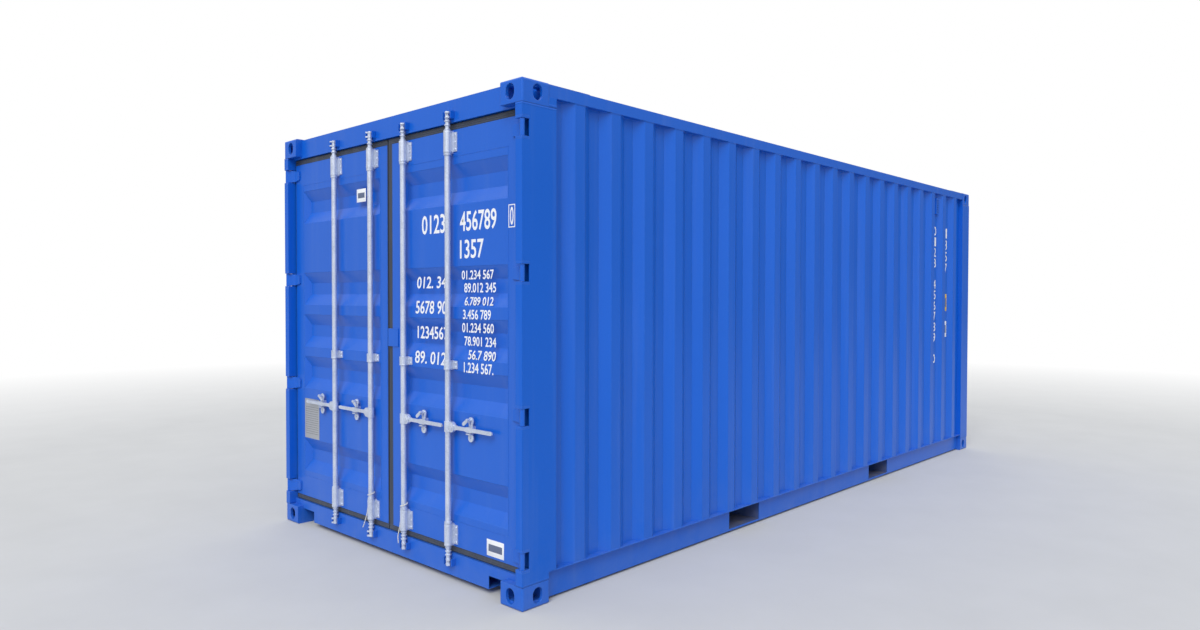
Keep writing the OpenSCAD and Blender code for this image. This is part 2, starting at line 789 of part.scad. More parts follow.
module left_door_panel() door_panel(1);

module door_gasket(side, seam) {
    u0 = leaf_set + leaf_t;
    color(rubber) difference() {
        leaf_box(side, u0, u0 + gasket_d, leaf_in(side) - seam, leaf_out + gasket_side,
                 leaf_z0 - gasket_low, leaf_z1 + gasket_end);
        leaf_box(side, u0 - over, u0 + gasket_d + over, leaf_in(side), leaf_out, leaf_z0, leaf_z1);
    }
}
module right_door_gasket() door_gasket(-1, seam_right);
module left_door_gasket() door_gasket(1, seam_left);

module hinge_blade() {
    leaf_v = width/2 - leaf_out;
    end_v = leaf_v + blade_reach;
    half_t = blade_t/2 + 1;
    outer_u = leaf_set - blade_t;
    difference() {
        union() {
            translate([pin_in, pin_in, -blade_h/2]) cylinder(d = barrel_d, h = blade_h);
            intersection() {
                linear_extrude(blade_h, center = true)
                    polygon([[pin_in - half_t, pin_in], [pin_in - half_t, pin_in + blade_t],
                             [outer_u, leaf_v + 7], [outer_u, end_v], [leaf_set, end_v],
                             [leaf_set, leaf_v + 3], [pin_in + half_t, pin_in + 8],
                             [pin_in + half_t, pin_in]]);
                rotate([90, 0, 90]) linear_extrude(leaf_set)
                    polygon([[0, -blade_h/2], [pin_in + barrel_d/2, -blade_h/2],
                             [end_v, -blade_tip_h/2], [end_v, blade_tip_h/2],
                             [pin_in + barrel_d/2, blade_h/2], [0, blade_h/2]]);
            }
        }
        translate([pin_in, pin_in, -blade_h/2 - over])
            cylinder(d = pin_d + 2*pin_clear, h = blade_h + 2*over);
    }
}
module door_hinges(side)
    color(paint) at_side_face(side)
        for (i = [0 : hinge_n - 1]) translate([0, 0, hinge_z(i)]) hinge_blade();
module right_door_hinges() door_hinges(-1);
module left_door_hinges() door_hinges(1);

// Rod bearing on a foot plate that points away from the seam (dir 1) or towards it (dir -1)
module bearing(h, dir)
    difference() {
        union() {
            cylinder(d = bearing_d, h = h);
            translate([0, -bearing_d/3, 0]) cube([leaf_set - rod_in, 2*bearing_d/3, h]);
            translate([leaf_set - rod_in - foot_t, dir > 0 ? 0 : -foot_w, h/16])
                cube([foot_t, foot_w, 7*h/8]);
        }
        translate([0, 0, -over]) cylinder(d = rod_d + 2*rod_clear, h = h + 2*over);
    }
module door_bearings(side)
    color(zinc) at_door() on_side(side) for (s = ROD_S)
        for (at = [[bearing_top_z, bearing_h], [guide_z - guide_h/2, guide_h], [bearing_low_z, bearing_h]])
            translate([rod_in, s, at[0]]) bearing(at[1], -side);
module right_door_bearings() door_bearings(-1);
module left_door_bearings() door_bearings(1);

// Extrudes an outline in y and z forward along x
module plate_yz(t) rotate([90, 0, 90]) linear_extrude(t) children();

module retainer() {
    lobe = retainer_w/2;
    mid = retainer_h/2 - lobe;
    low = handle_half + handle_clear;
    head_t = catch_t - 2;
    difference() {
        translate([retainer_u, 0, 0]) plate_yz(retainer_t) {
            translate([-3*lobe/4, -mid]) square([3*lobe/2, 2*mid]);
            for (z = [-mid, mid]) translate([0, z]) circle(r = lobe);
        }
        translate([retainer_u - over, 0, -mid]) rotate([0, 90, 0])
            cylinder(d = catch_pin_d, h = retainer_t + 2*over);
        translate([retainer_u + retainer_t/2, 0, (low + catch_up - catch_pin_d)/2]) rotate([0, 90, 0])
            slot(lobe, catch_pin_d, retainer_t + 2*over);
    }
    translate([retainer_u + retainer_t, -3*lobe/4, -low])
        cube([leaf_set - retainer_u - retainer_t, 3*lobe/2, 2*low]);
    translate([handle_u0 - handle_clear, -3*lobe/4, -low - retainer_t])
        cube([retainer_u - handle_u0 + handle_clear, 3*lobe/2, retainer_t]);
    // pivot pin of the catch, with its head and shoulder
    translate([0, 0, catch_up]) rotate([0, 90, 0]) {
        translate([0, 0, catch_u - head_t]) cylinder(d = catch_pin_d, h = retainer_u - catch_u + head_t);
        translate([0, 0, catch_u - head_t - catch_gap]) cylinder(d = 2*catch_pin_d, h = head_t);
        translate([0, 0, catch_u + catch_t + catch_gap])
            cylinder(d = 2*catch_pin_d, h = retainer_u - catch_u - catch_t - catch_gap);
    }
}
module door_retainers(side)
    color(zinc) at_door() on_side(side) for (s = ROD_S)
        translate([0, s + retainer_out, handle_z]) retainer();
module right_door_retainers() door_retainers(-1);
module left_door_retainers() door_retainers(1);

module centre_tab()
    color(paint) leaf_box(-1, leaf_set - tab_t, leaf_set, leaf_in(-1) - seam_right,
                          leaf_in(-1) - seam_right + tab_w, (height - tab_h)/2, (height + tab_h)/2);

module data_plate() {
    z0 = recess_z(0) + recess_h/2 + 7;
    color(zinc) leaf_box(1, leaf_set - plate_t, leaf_set, panel_out - 8 - plate_w, panel_out - 8,
                         z0, z0 + plate_h);
}

// Locking gear: cams at both ends of a rod, two claws each, turned outward past the keepers
module cam()
    for (z = [0, cam_h - claw_t]) translate([0, 0, z]) linear_extrude(claw_t) {
        circle(r = claw_boss);
        intersection() {
            circle(r = cam_r);
            rotate(cam_turn) translate([0, -cam_w/2]) square([cam_r + over, cam_w]);
        }
    }
module lock_rod(side, s) {
    cam_in = (keeper_h - cam_h)/2;
    end_low = keeper_low_z + cam_in - rod_t;
    end_top = keeper_top_z + keeper_h - cam_in + rod_t;
    tube_low = bearing_low_z - rod_t;
    tube_top = bearing_top_z + bearing_h + rod_t;
    color(zinc) at_door() on_side(side) translate([rod_in, s, 0]) difference() {
        union() {
            translate([0, 0, tube_low]) cylinder(d = rod_d, h = tube_top - tube_low);
            translate([0, 0, end_low]) cylinder(d = spindle_d, h = end_top - end_low);
            for (z = [keeper_low_z, keeper_top_z]) translate([0, 0, z + cam_in]) cam();
            for (z = [bearing_low_z + bearing_h + blade_gap, bearing_top_z - blade_gap - collar_h])
                translate([0, 0, z]) cylinder(d = bearing_d - 2, h = collar_h);
        }
        translate([0, 0, tube_low + rod_t])
            cylinder(d = rod_d - 2*rod_t, h = tube_top - tube_low - 2*rod_t);
        // drain through the lower end
        translate([0, 0, end_low - over]) cylinder(d = 2*rod_t, h = tube_low - end_low + rod_d);
    }
}
module lock_rod_right_outer() lock_rod(-1, rod_outer);
module lock_rod_right_inner() lock_rod(-1, rod_inner);
module lock_rod_left_inner() lock_rod(1, rod_inner);
module lock_rod_left_outer() lock_rod(1, rod_outer);

module handle(side, s) {
    grip = handle_half - 4;
    neck = handle_half + 6;
    flare = [retainer_out - 34, retainer_out - 18, retainer_out + 18, retainer_out + 34];
    up = [[rod_r + 4, neck], [rod_d + 14, neck], [2*rod_d + 16, grip], [flare[0], grip],
          [flare[1], handle_half], [flare[2], handle_half], [flare[3], grip],
          [handle_l - grip, grip], [handle_l, grip/2]];
    down = [for (i = [len(up) - 1 : -1 : 0]) [up[i][0], -up[i][1]]];
    color(zinc) at_door() on_side(side) translate([rod_in, s, handle_z]) difference() {
        union() {
            translate([-handle_t/2, 0, 0]) plate_yz(handle_t) polygon(concat(up, down));
            translate([-hub_t/2, hub_d/2 + hub_t/4, 0]) rotate([0, 90, 0]) cylinder(d = hub_d, h = hub_t);
            translate([0, 0, -hub_d/2]) cylinder(d = bearing_d - 2, h = hub_d);
        }
        translate([0, 0, -hub_d]) cylinder(d = rod_d + 2*pin_seat, h = 2*hub_d);
    }
}
module handle_right_outer() handle(-1, rod_outer);
module handle_right_inner() handle(-1, rod_inner);
module handle_left_inner() handle(1, rod_inner);
module handle_left_outer() handle(1, rod_outer);

module catch(side, s) {
    half = catch_pin_d + 1;
    color(zinc) at_door() on_side(side) translate([catch_u, s + retainer_out, catch_z])
        rotate([-catch_lean, 0, 0]) difference() {
            plate_yz(catch_t) {
                translate([-half, half - catch_l]) square([2*half, catch_l - half]);
                for (z = [0, half - catch_l]) translate([0, z]) circle(r = half);
            }
            translate([-over, 0, 0]) rotate([0, 90, 0])
                cylinder(d = catch_pin_d + 2*pin_clear, h = catch_t + 2*over);
        }
}
module catch_right_outer() catch(-1, rod_outer);
module catch_right_inner() catch(-1, rod_inner);
module catch_left_inner() catch(1, rod_inner);
module catch_left_outer() catch(1, rod_outer);

// Tie-back ropes: laid once round the inner rods above the low bearings, then hanging.
// Points are u, distance to the left of the rod axis, and z
wrap_r = rod_r + rope_d/2 + rope_gap;
function wrap(z) = [for (a = [80 : -20 : -240]) [rod_in + wrap_r*cos(a), wrap_r*sin(a), z + (a - 80)/12]];
LEFT_ROPE = concat(wrap(366),
    [[23, 26, 332], [24, 33, 308], [25, 38, 282], [26, 46, 245], [26, 58, 205], [25, 76, 165], [24, 98, 125]]);
RIGHT_ROPE = concat(wrap(360),
    [[23, 26, 326], [24, 32, 302], [25, 34, 275], [26, 40, 240], [26, 48, 205], [25, 58, 170],
     [24, 64, 140], [24, 58, 108]]);
// Catmull-Rom point between route points i and i+1
function route_at(r, i, t) =
    let (a = r[max(i - 1, 0)], b = r[i], c = r[min(i + 1, len(r) - 1)], d = r[min(i + 2, len(r) - 1)])
    0.5*(2*b + (c - a)*t + (2*a - 5*b + 4*c - d)*t*t + (3*b - 3*c + d - a)*t*t*t);
function smooth(r) = concat([for (i = [0 : len(r) - 2], t = [0, 0.5]) route_at(r, i, t)], [r[len(r) - 1]]);
function unit(v) = v / norm(v);
module swept_tube(points, d, sides) {
    last = len(points) - 1;
    rings = [for (i = [0 : last])
        let (along = unit(points[min(i + 1, last)] - points[max(i - 1, 0)]),
             across = unit(cross(along, [1, -1, 1])), up = cross(along, across))
        [for (k = [0 : sides - 1]) points[i] + d/2*(cos(360*k/sides)*across + sin(360*k/sides)*up)]];
    polyhedron(
        [for (ring = rings) each ring],
        concat([[for (k = [0 : sides - 1]) k]],
               [for (i = [0 : last - 1], k = [0 : sides - 1])
                   [i*sides + k, (i + 1)*sides + k, (i + 1)*sides + (k + 1) % sides]],
               [for (i = [0 : last - 1], k = [0 : sides - 1])
                   [i*sides + k, (i + 1)*sides + (k + 1) % sides, i*sides + (k + 1) % sides]],
               [[for (k = [sides - 1 : -1 : 0]) last*sides + k]]));
}
module right_door_rope()
    color(rope_col) at_door() translate([0, -rod_inner, 0]) swept_tube(smooth(RIGHT_ROPE), rope_d, 8);
module left_door_rope()
    color(rope_col) at_door() translate([0, rod_inner, 0]) swept_tube(smooth(LEFT_ROPE), rope_d, 8);

bottom_corner_castings();
top_corner_castings();
rear_post_right();
rear_post_left();
rear_post_heads();
front_posts();
door_header();
door_sill();
front_rails();
top_side_rails();
bottom_side_rails();
pocket_mouths();
side_wall_right();
side_wall_left();
front_wall();
roof_panel();
roof_ends();
roof_corner_plates();
floor_boards();
cross_members();
pocket_roofs();
pocket_sides();
pocket_straps();
cam_keepers();
hinge_lugs();
hinge_pins();
ventilators();
right_door_frame();
right_door_panel();
right_door_gasket();
right_door_hinges();
right_door_bearings();
right_door_retainers();
right_door_rope();
left_door_frame();
left_door_panel();
left_door_gasket();
left_door_hinges();
left_door_bearings();
left_door_retainers();
left_door_rope();
centre_tab();
data_plate();
lock_rod_right_outer();
lock_rod_right_inner();
lock_rod_left_inner();
lock_rod_left_outer();
handle_right_outer();
handle_right_inner();
handle_left_inner();
handle_left_outer();
catch_right_outer();
catch_right_inner();
catch_left_inner();
catch_left_outer();
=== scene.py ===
import bpy
import bmesh
import math
from mathutils import Matrix, Quaternion, Vector


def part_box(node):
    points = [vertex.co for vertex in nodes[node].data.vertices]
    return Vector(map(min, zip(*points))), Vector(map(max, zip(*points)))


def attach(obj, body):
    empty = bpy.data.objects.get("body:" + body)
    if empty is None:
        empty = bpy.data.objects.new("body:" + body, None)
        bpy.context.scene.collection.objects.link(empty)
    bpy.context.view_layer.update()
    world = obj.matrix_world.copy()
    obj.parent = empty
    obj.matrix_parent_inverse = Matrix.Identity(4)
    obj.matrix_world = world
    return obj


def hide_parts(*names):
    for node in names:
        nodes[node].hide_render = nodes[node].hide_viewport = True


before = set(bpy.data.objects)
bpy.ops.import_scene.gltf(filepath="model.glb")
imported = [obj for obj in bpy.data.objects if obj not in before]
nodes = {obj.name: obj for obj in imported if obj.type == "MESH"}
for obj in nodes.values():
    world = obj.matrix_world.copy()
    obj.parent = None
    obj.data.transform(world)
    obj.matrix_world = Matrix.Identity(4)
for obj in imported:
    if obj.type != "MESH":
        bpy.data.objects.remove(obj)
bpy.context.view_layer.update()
mm = 0.001
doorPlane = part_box("bottom_corner_castings")[0].x  # plane of the door end; depths are counted from it
print("frame loaded,", len(nodes), "CAD nodes")

# Camera, solved on the corners of the container in the photograph
shot = {"place": (-5.644, -4.179, 1.525), "heading": 46.91, "pitch": -1.15, "roll": 0.09, "lens": 24.51}


def makeCamera():
    data = bpy.data.cameras.new("yardCamera")
    data.sensor_width = 36.0
    data.lens = shot["lens"]
    data.clip_end = 200.0
    camera = bpy.data.objects.new("yardCamera", data)
    bpy.context.scene.collection.objects.link(camera)
    heading, pitch, roll = (math.radians(shot[key]) for key in ("heading", "pitch", "roll"))
    level = math.cos(pitch)
    ahead = Vector((level * math.sin(heading), level * math.cos(heading), math.sin(pitch)))
    across = Vector((math.cos(heading), -math.sin(heading), 0.0))
    above = across.cross(ahead)
    right = across * math.cos(roll) + above * math.sin(roll)
    up = above * math.cos(roll) - across * math.sin(roll)
    turn = Matrix((right, up, -ahead)).transposed().to_4x4()
    camera.matrix_world = Matrix.Translation(shot["place"]) @ turn
    bpy.context.scene.camera = camera


makeCamera()


# Node helpers: a node with its inputs set or linked, and a group with named sockets
def add(tree, kind, inputs=None, **settings):
    node = tree.nodes.new(kind)
    for key, value in settings.items():
        setattr(node, key, value)
    for key, value in (inputs or {}).items():
        if isinstance(value, bpy.types.NodeSocket):
            tree.links.new(value, node.inputs[key])
        else:
            node.inputs[key].default_value = value
    return node


def calc(tree, operation, first, second=0.5, third=0.5):
    return add(tree, "ShaderNodeMath", {0: first, 1: second, 2: third}, operation=operation).outputs[0]


def dot(tree, first, second):
    node = add(tree, "ShaderNodeVectorMath", {0: first, 1: second}, operation="DOT_PRODUCT")
    return node.outputs["Value"]


def spread(tree, value, low, high, toLow=0.0, toHigh=1.0):
    node = add(tree, "ShaderNodeMapRange", {"Value": value, "From Min": low, "From Max": high,
                                            "To Min": toLow, "To Max": toHigh})
    return node.outputs["Result"]


def noise(tree, vector, scale, detail=3.0, roughness=0.5):
    node = add(tree, "ShaderNodeTexNoise", {"Vector": vector, "Scale": scale, "Detail": detail,
                                            "Roughness": roughness})
    return node.outputs["Fac"]


def mixed(tree, factor, first, second, how="MIX"):
    node = add(tree, "ShaderNodeMix", data_type="RGBA", blend_type=how)
    for socket, value in ((node.inputs[0], factor), (node.inputs[6], first), (node.inputs[7], second)):
        if isinstance(value, bpy.types.NodeSocket):
            tree.links.new(value, socket)
        else:
            socket.default_value = value
    return node.outputs[2]


def newGroup(name, inputs, outputs):
    group = bpy.data.node_groups.new(name, "ShaderNodeTree")
    for label, kind, value in inputs:
        group.interface.new_socket(label, in_out="INPUT", socket_type=kind).default_value = value
    for label, kind in outputs:
        group.interface.new_socket(label, in_out="OUTPUT", socket_type=kind)
    return group, group.nodes.new("NodeGroupInput").outputs, group.nodes.new("NodeGroupOutput").inputs


def use(tree, group, **values):
    node = tree.nodes.new("ShaderNodeGroup")
    node.node_tree = group
    for key, value in values.items():
        socket = node.inputs[key.replace("_", " ")]
        if isinstance(value, bpy.types.NodeSocket):
            tree.links.new(value, socket)
        else:
            socket.default_value = value
    return node.outputs


floatKind, colourKind = "NodeSocketFloat", "NodeSocketColor"


def makeWeathering():  # sun fading, rain streaks, dust that settles low down and on upward faces
    group, given, out = newGroup(
        "weathering",
        [("Paint", colourKind, (0.5, 0.5, 0.5, 1)), ("Dust", colourKind, (0.45, 0.42, 0.38, 1)),
         ("Fade", floatKind, 0.06), ("Streaks", floatKind, 0.05), ("Settled", floatKind, 0.15),
         ("Gloss", floatKind, 0.4)],
        [("Color", colourKind), ("Roughness", floatKind)])
    where = group.nodes.new("ShaderNodeTexCoord").outputs
    broad = noise(group, where["Object"], 0.9, 4.0, 0.55)
    grain = noise(group, where["Object"], 140.0, 2.0)
    stretched = add(group, "ShaderNodeMapping", {"Vector": where["Object"], "Scale": (8.0, 8.0, 0.3)})
    runs = spread(group, noise(group, stretched.outputs[0], 1.7, 6.0, 0.6), 0.52, 0.74)
    faded = calc(group, "MULTIPLY", calc(group, "SUBTRACT", broad, 0.5), given["Fade"])
    speckled = calc(group, "MULTIPLY", calc(group, "SUBTRACT", grain, 0.5), 0.05)
    value = calc(group, "ADD", faded, speckled)
    value = calc(group, "ADD", calc(group, "MULTIPLY", value, 2.0), 1.0)
    toned = add(group, "ShaderNodeHueSaturation", {"Color": given["Paint"], "Value": value}).outputs[0]
    height = add(group, "ShaderNodeSeparateXYZ", {0: where["Object"]}).outputs[2]
    facing = add(group, "ShaderNodeSeparateXYZ", {0: where["Normal"]}).outputs[2]
    low = calc(group, "POWER", spread(group, height, 0.7, 0.0), 2.0)
    top = spread(group, facing, 0.55, 1.0, 0.0, 1.6)
    patchy = spread(group, noise(group, where["Object"], 6.0, 6.0, 0.65), 0.3, 0.75)
    settled = calc(group, "MULTIPLY", calc(group, "MAXIMUM", low, top), patchy)
    settled = calc(group, "MULTIPLY", settled, given["Settled"])
    mask = calc(group, "ADD", settled, calc(group, "MULTIPLY", runs, given["Streaks"]))
    mask = add(group, "ShaderNodeClamp", {0: mask}).outputs[0]
    group.links.new(mixed(group, mask, toned, given["Dust"]), out["Color"])
    rough = calc(group, "ADD", given["Gloss"], calc(group, "MULTIPLY", mask, 0.35))
    rough = calc(group, "ADD", rough, calc(group, "MULTIPLY", calc(group, "SUBTRACT", broad, 0.5), 0.12))
    group.links.new(rough, out["Roughness"])
    return group


def makeEdgeWearAndHighlight():  # lighter paint along the edges: a painted highlight, broken up by noise like thin paint where edges get knocked
    group, given, out = newGroup("edgeWearAndHighlight", [("Width", floatKind, 0.004), ("Amount", floatKind, 0.5)],
                                 [("Mask", floatKind)])
    bevel = add(group, "ShaderNodeBevel", {"Radius": given["Width"]}, samples=4).outputs[0]
    flat = group.nodes.new("ShaderNodeNewGeometry").outputs["Normal"]
    edge = spread(group, dot(group, bevel, flat), 0.985, 0.8)
    where = group.nodes.new("ShaderNodeTexCoord").outputs["Object"]
    broken = spread(group, noise(group, where, 28.0, 5.0, 0.7), 0.5, 0.68)
    # edge mask broken by noise: painted edge highlight, partly standing for wear
    wearAndHighlight = calc(group, "MULTIPLY", edge, broken)
    group.links.new(calc(group, "MULTIPLY", wearAndHighlight, given["Amount"]), out["Mask"])
    return group


def makeSurface():  # orange peel of sprayed paint over slightly wavy sheet
    group, given, out = newGroup("sprayedSheet", [("Peel", floatKind, 0.3), ("Waves", floatKind, 0.5)],
                                 [("Height", floatKind)])
    where = group.nodes.new("ShaderNodeTexCoord").outputs["Object"]
    depth = calc(group, "MULTIPLY", given["Peel"], 0.05)
    peel = calc(group, "MULTIPLY", noise(group, where, 420.0, 2.0), depth)
    waves = calc(group, "MULTIPLY", noise(group, where, 3.2, 2.0), given["Waves"])
    group.links.new(calc(group, "ADD", peel, waves), out["Height"])
    return group


weathering, edgeWearAndHighlight, sprayedSheet = makeWeathering(), makeEdgeWearAndHighlight(), makeSurface()
print("node groups made")


def newMaterial(name, **plain):
    material = bpy.data.materials.new(name)
    material.use_nodes = True
    shader = material.node_tree.nodes["Principled BSDF"]
    for key, value in plain.items():
        shader.inputs[key.replace("_", " ")].default_value = value
    return material, material.node_tree, shader


def feed(tree, shader, **values):
    for key, value in values.items():
        tree.links.new(value, shader.inputs[key.replace("_", " ")])


# the lighter edge colour is a painted highlight along edges, partly worn thin paint
paintLook = {
    "blue": (0.003, 0.105, 0.560, 1), "inside": (0.50, 0.52, 0.53, 1), "wornAndLitEdge": (0.10, 0.26, 0.62, 1),
    "seam": (0.002, 0.022, 0.15, 1), "dust": (0.30, 0.36, 0.46, 1), "floorDust": (0.3, 0.27, 0.23, 1),
    "gloss": 0.33, "inwardFrom": 0.3,
}


def containerPaint(name, inward=None, bend=0.003, waves=0.5, settled=0.12, shine=0.4, joints=(), cast=0.0):
    material, tree, shader = newMaterial(name, Specular_IOR_Level=shine)
    tone = use(tree, weathering, Paint=paintLook["blue"], Dust=paintLook["dust"], Settled=settled,
               Gloss=paintLook["gloss"])
    # edges mixed toward a lighter blue: painted highlight, partly worn paint
    rubAndHighlight = use(tree, edgeWearAndHighlight, Width=bend)["Mask"]
    colour = mixed(tree, rubAndHighlight, tone["Color"], paintLook["wornAndLitEdge"])
    if inward:  # the side that faces the hold has the pale inside paint
        facing = tree.nodes.new("ShaderNodeTexCoord").outputs["Normal"]
        start = paintLook["inwardFrom"]
        hold = spread(tree, dot(tree, facing, inward), start, start + 0.02)
        inside = use(tree, weathering, Paint=paintLook["inside"], Dust=paintLook["floorDust"], Settled=0.2,
                     Streaks=0.04)
        colour = mixed(tree, hold, colour, inside["Color"])
    height = use(tree, sprayedSheet, Waves=waves)["Height"]
    where = tree.nodes.new("ShaderNodeTexCoord").outputs["Object"]
    if cast:  # sand-cast skin
        grit = calc(tree, "MULTIPLY", noise(tree, where, 190.0, 3.0, 0.6), cast)
        height = calc(tree, "ADD", height, grit)
    for level in joints:  # welded butt joint: a dark line with a bead under it
        off = calc(tree, "SUBTRACT", add(tree, "ShaderNodeSeparateXYZ", {0: where}).outputs[2], level)
        line = spread(tree, calc(tree, "ABSOLUTE", off), 0.001, 0.0035, 0.75, 0.0)
        colour = mixed(tree, line, colour, paintLook["seam"])
        under = calc(tree, "ABSOLUTE", calc(tree, "ADD", calc(tree, "ABSOLUTE", off), -0.0085))
        ridge = spread(tree, under, 0.0, 0.005, 1.6, 0.0)
        height = calc(tree, "ADD", height, ridge)
    soft = add(tree, "ShaderNodeBevel", {"Radius": bend}, samples=6).outputs[0]
    bump = add(tree, "ShaderNodeBump", {"Strength": 0.35, "Distance": 0.004, "Height": height,
                                        "Normal": soft})
    feed(tree, shader, Base_Color=colour, Roughness=tone["Roughness"], Normal=bump.outputs[0])
    return material


underframeLook = {"blue": (0.018, 0.075, 0.30, 1), "dust": (0.25, 0.23, 0.20, 1), "gloss": 0.55}


def underframePaint():
    material, tree, shader = newMaterial("underframePaint", Specular_IOR_Level=0.3)
    tone = use(tree, weathering, Paint=underframeLook["blue"], Dust=underframeLook["dust"], Settled=0.5,
               Streaks=0.2, Gloss=underframeLook["gloss"])
    height = use(tree, sprayedSheet, Peel=2.0, Waves=0.4)["Height"]
    bump = add(tree, "ShaderNodeBump", {"Strength": 0.5, "Distance": 0.004, "Height": height})
    feed(tree, shader, Base_Color=tone["Color"], Roughness=tone["Roughness"], Normal=bump.outputs[0])
    return material


zincLook = {"dark": (0.48, 0.55, 0.70, 1), "light": (0.64, 0.70, 0.84, 1), "bloom": (0.74, 0.78, 0.86, 1),
            "metal": 0.55, "spangle": 150.0, "rough": 0.34}


def galvanisedSteel():  # zinc spangle with a whitish bloom
    material, tree, shader = newMaterial("galvanisedSteel", Metallic=zincLook["metal"])
    where = tree.nodes.new("ShaderNodeTexCoord").outputs["Object"]
    crystals = add(tree, "ShaderNodeTexVoronoi", {"Vector": where, "Scale": zincLook["spangle"]})
    spangle = crystals.outputs["Color"]
    value = add(tree, "ShaderNodeRGBToBW", {0: spangle}).outputs[0]
    bloom = spread(tree, noise(tree, where, 16.0, 5.0, 0.6), 0.35, 0.7)
    steel = mixed(tree, value, zincLook["dark"], zincLook["light"])
    colour = mixed(tree, calc(tree, "MULTIPLY", bloom, 0.45), steel, zincLook["bloom"])
    rough = calc(tree, "ADD", zincLook["rough"], calc(tree, "MULTIPLY", bloom, 0.2))
    rough = calc(tree, "ADD", rough, calc(tree, "MULTIPLY", value, 0.06))
    soft = add(tree, "ShaderNodeBevel", {"Radius": 0.0012}, samples=4).outputs[0]
    height = calc(tree, "ADD", value, noise(tree, where, 60.0, 3.0))
    bump = add(tree, "ShaderNodeBump", {"Strength": 0.12, "Distance": 0.001, "Height": height,
                                        "Normal": soft})
    feed(tree, shader, Base_Color=colour, Roughness=rough, Normal=bump.outputs[0])
    return material


rubberLook = {"black": (0.045, 0.055, 0.080, 1), "dust": (0.17, 0.19, 0.23, 1), "gloss": 0.55}


def gasketRubber():
    material, tree, shader = newMaterial("gasketRubber", Specular_IOR_Level=0.35)
    where = tree.nodes.new("ShaderNodeTexCoord").outputs["Object"]
    tone = use(tree, weathering, Paint=rubberLook["black"], Dust=rubberLook["dust"], Fade=0.2,
               Streaks=0.22, Settled=0.25, Gloss=rubberLook["gloss"])
    bump = add(tree, "ShaderNodeBump", {"Strength": 0.25, "Distance": 0.001,
                                        "Height": noise(tree, where, 300.0, 3.0)})
    feed(tree, shader, Base_Color=tone["Color"], Roughness=tone["Roughness"], Normal=bump.outputs[0])
    return material


boards = {"width": 2.4, "row": 0.29, "joint": 0.0022, "light": (0.34, 0.19, 0.095, 1),
          "dark": (0.25, 0.13, 0.06, 1), "gap": (0.03, 0.02, 0.015, 1), "grain": (0.12, 0.06, 0.03, 1),
          "scuff": (0.30, 0.26, 0.22, 1)}


def floorPlywood():  # lengthwise boards with butt joints, grain and boot marks
    material, tree, shader = newMaterial("floorPlywood", Specular_IOR_Level=0.4)
    where = tree.nodes.new("ShaderNodeTexCoord").outputs["Object"]
    sheets = add(tree, "ShaderNodeTexBrick",
                 {"Vector": where, "Scale": 1.0, "Mortar Size": boards["joint"], "Mortar Smooth": 0.1,
                  "Bias": 0.0, "Brick Width": boards["width"], "Row Height": boards["row"],
                  "Color1": boards["light"], "Color2": boards["dark"], "Mortar": boards["gap"]})
    along = add(tree, "ShaderNodeMapping", {"Vector": where, "Scale": (1.2, 26.0, 26.0)}).outputs[0]
    grain = noise(tree, along, 3.0, 8.0, 0.65)
    scuffs = spread(tree, noise(tree, where, 2.6, 6.0, 0.7), 0.48, 0.75)
    fibres = spread(tree, grain, 0.35, 0.7, 0.0, 0.55)
    colour = mixed(tree, fibres, sheets.outputs["Color"], boards["grain"])
    colour = mixed(tree, calc(tree, "MULTIPLY", scuffs, 0.35), colour, boards["scuff"])
    rough = calc(tree, "ADD", 0.42, calc(tree, "MULTIPLY", scuffs, 0.25))
    height = calc(tree, "SUBTRACT", calc(tree, "MULTIPLY", grain, 0.3), sheets.outputs["Fac"])
    bump = add(tree, "ShaderNodeBump", {"Strength": 0.5, "Distance": 0.0015, "Height": height})
    feed(tree, shader, Base_Color=colour, Roughness=rough, Normal=bump.outputs[0])
    return material


fibreLook = {"clean": (0.78, 0.77, 0.72, 1), "soiled": (0.50, 0.48, 0.43, 1), "rough": 0.78}


def ropeFibre():
    material, tree, shader = newMaterial("ropeFibre", Specular_IOR_Level=0.25, Sheen_Weight=0.3)
    where = tree.nodes.new("ShaderNodeTexCoord").outputs["Object"]
    soil = spread(tree, noise(tree, where, 45.0, 5.0, 0.6), 0.35, 0.75)
    drawn = add(tree, "ShaderNodeMapping", {"Vector": where, "Scale": (1.0, 1.0, 0.35)}).outputs[0]
    hairs = noise(tree, drawn, 1600.0, 2.0)
    colour = mixed(tree, calc(tree, "MULTIPLY", soil, 0.5), fibreLook["clean"], fibreLook["soiled"])
    rough = calc(tree, "ADD", fibreLook["rough"], calc(tree, "MULTIPLY", soil, 0.1))
    bump = add(tree, "ShaderNodeBump", {"Strength": 0.5, "Distance": 0.0004, "Height": hairs})
    feed(tree, shader, Base_Color=colour, Roughness=rough, Normal=bump.outputs[0])
    return material


plateLook = {"dark": (0.46, 0.48, 0.51, 1), "light": (0.62, 0.64, 0.67, 1), "etched": (0.10, 0.11, 0.13, 1),
             "metal": 0.8, "rows": 68.0, "line": 0.16, "side": 0.014, "foot": 0.02, "head": 0.05}


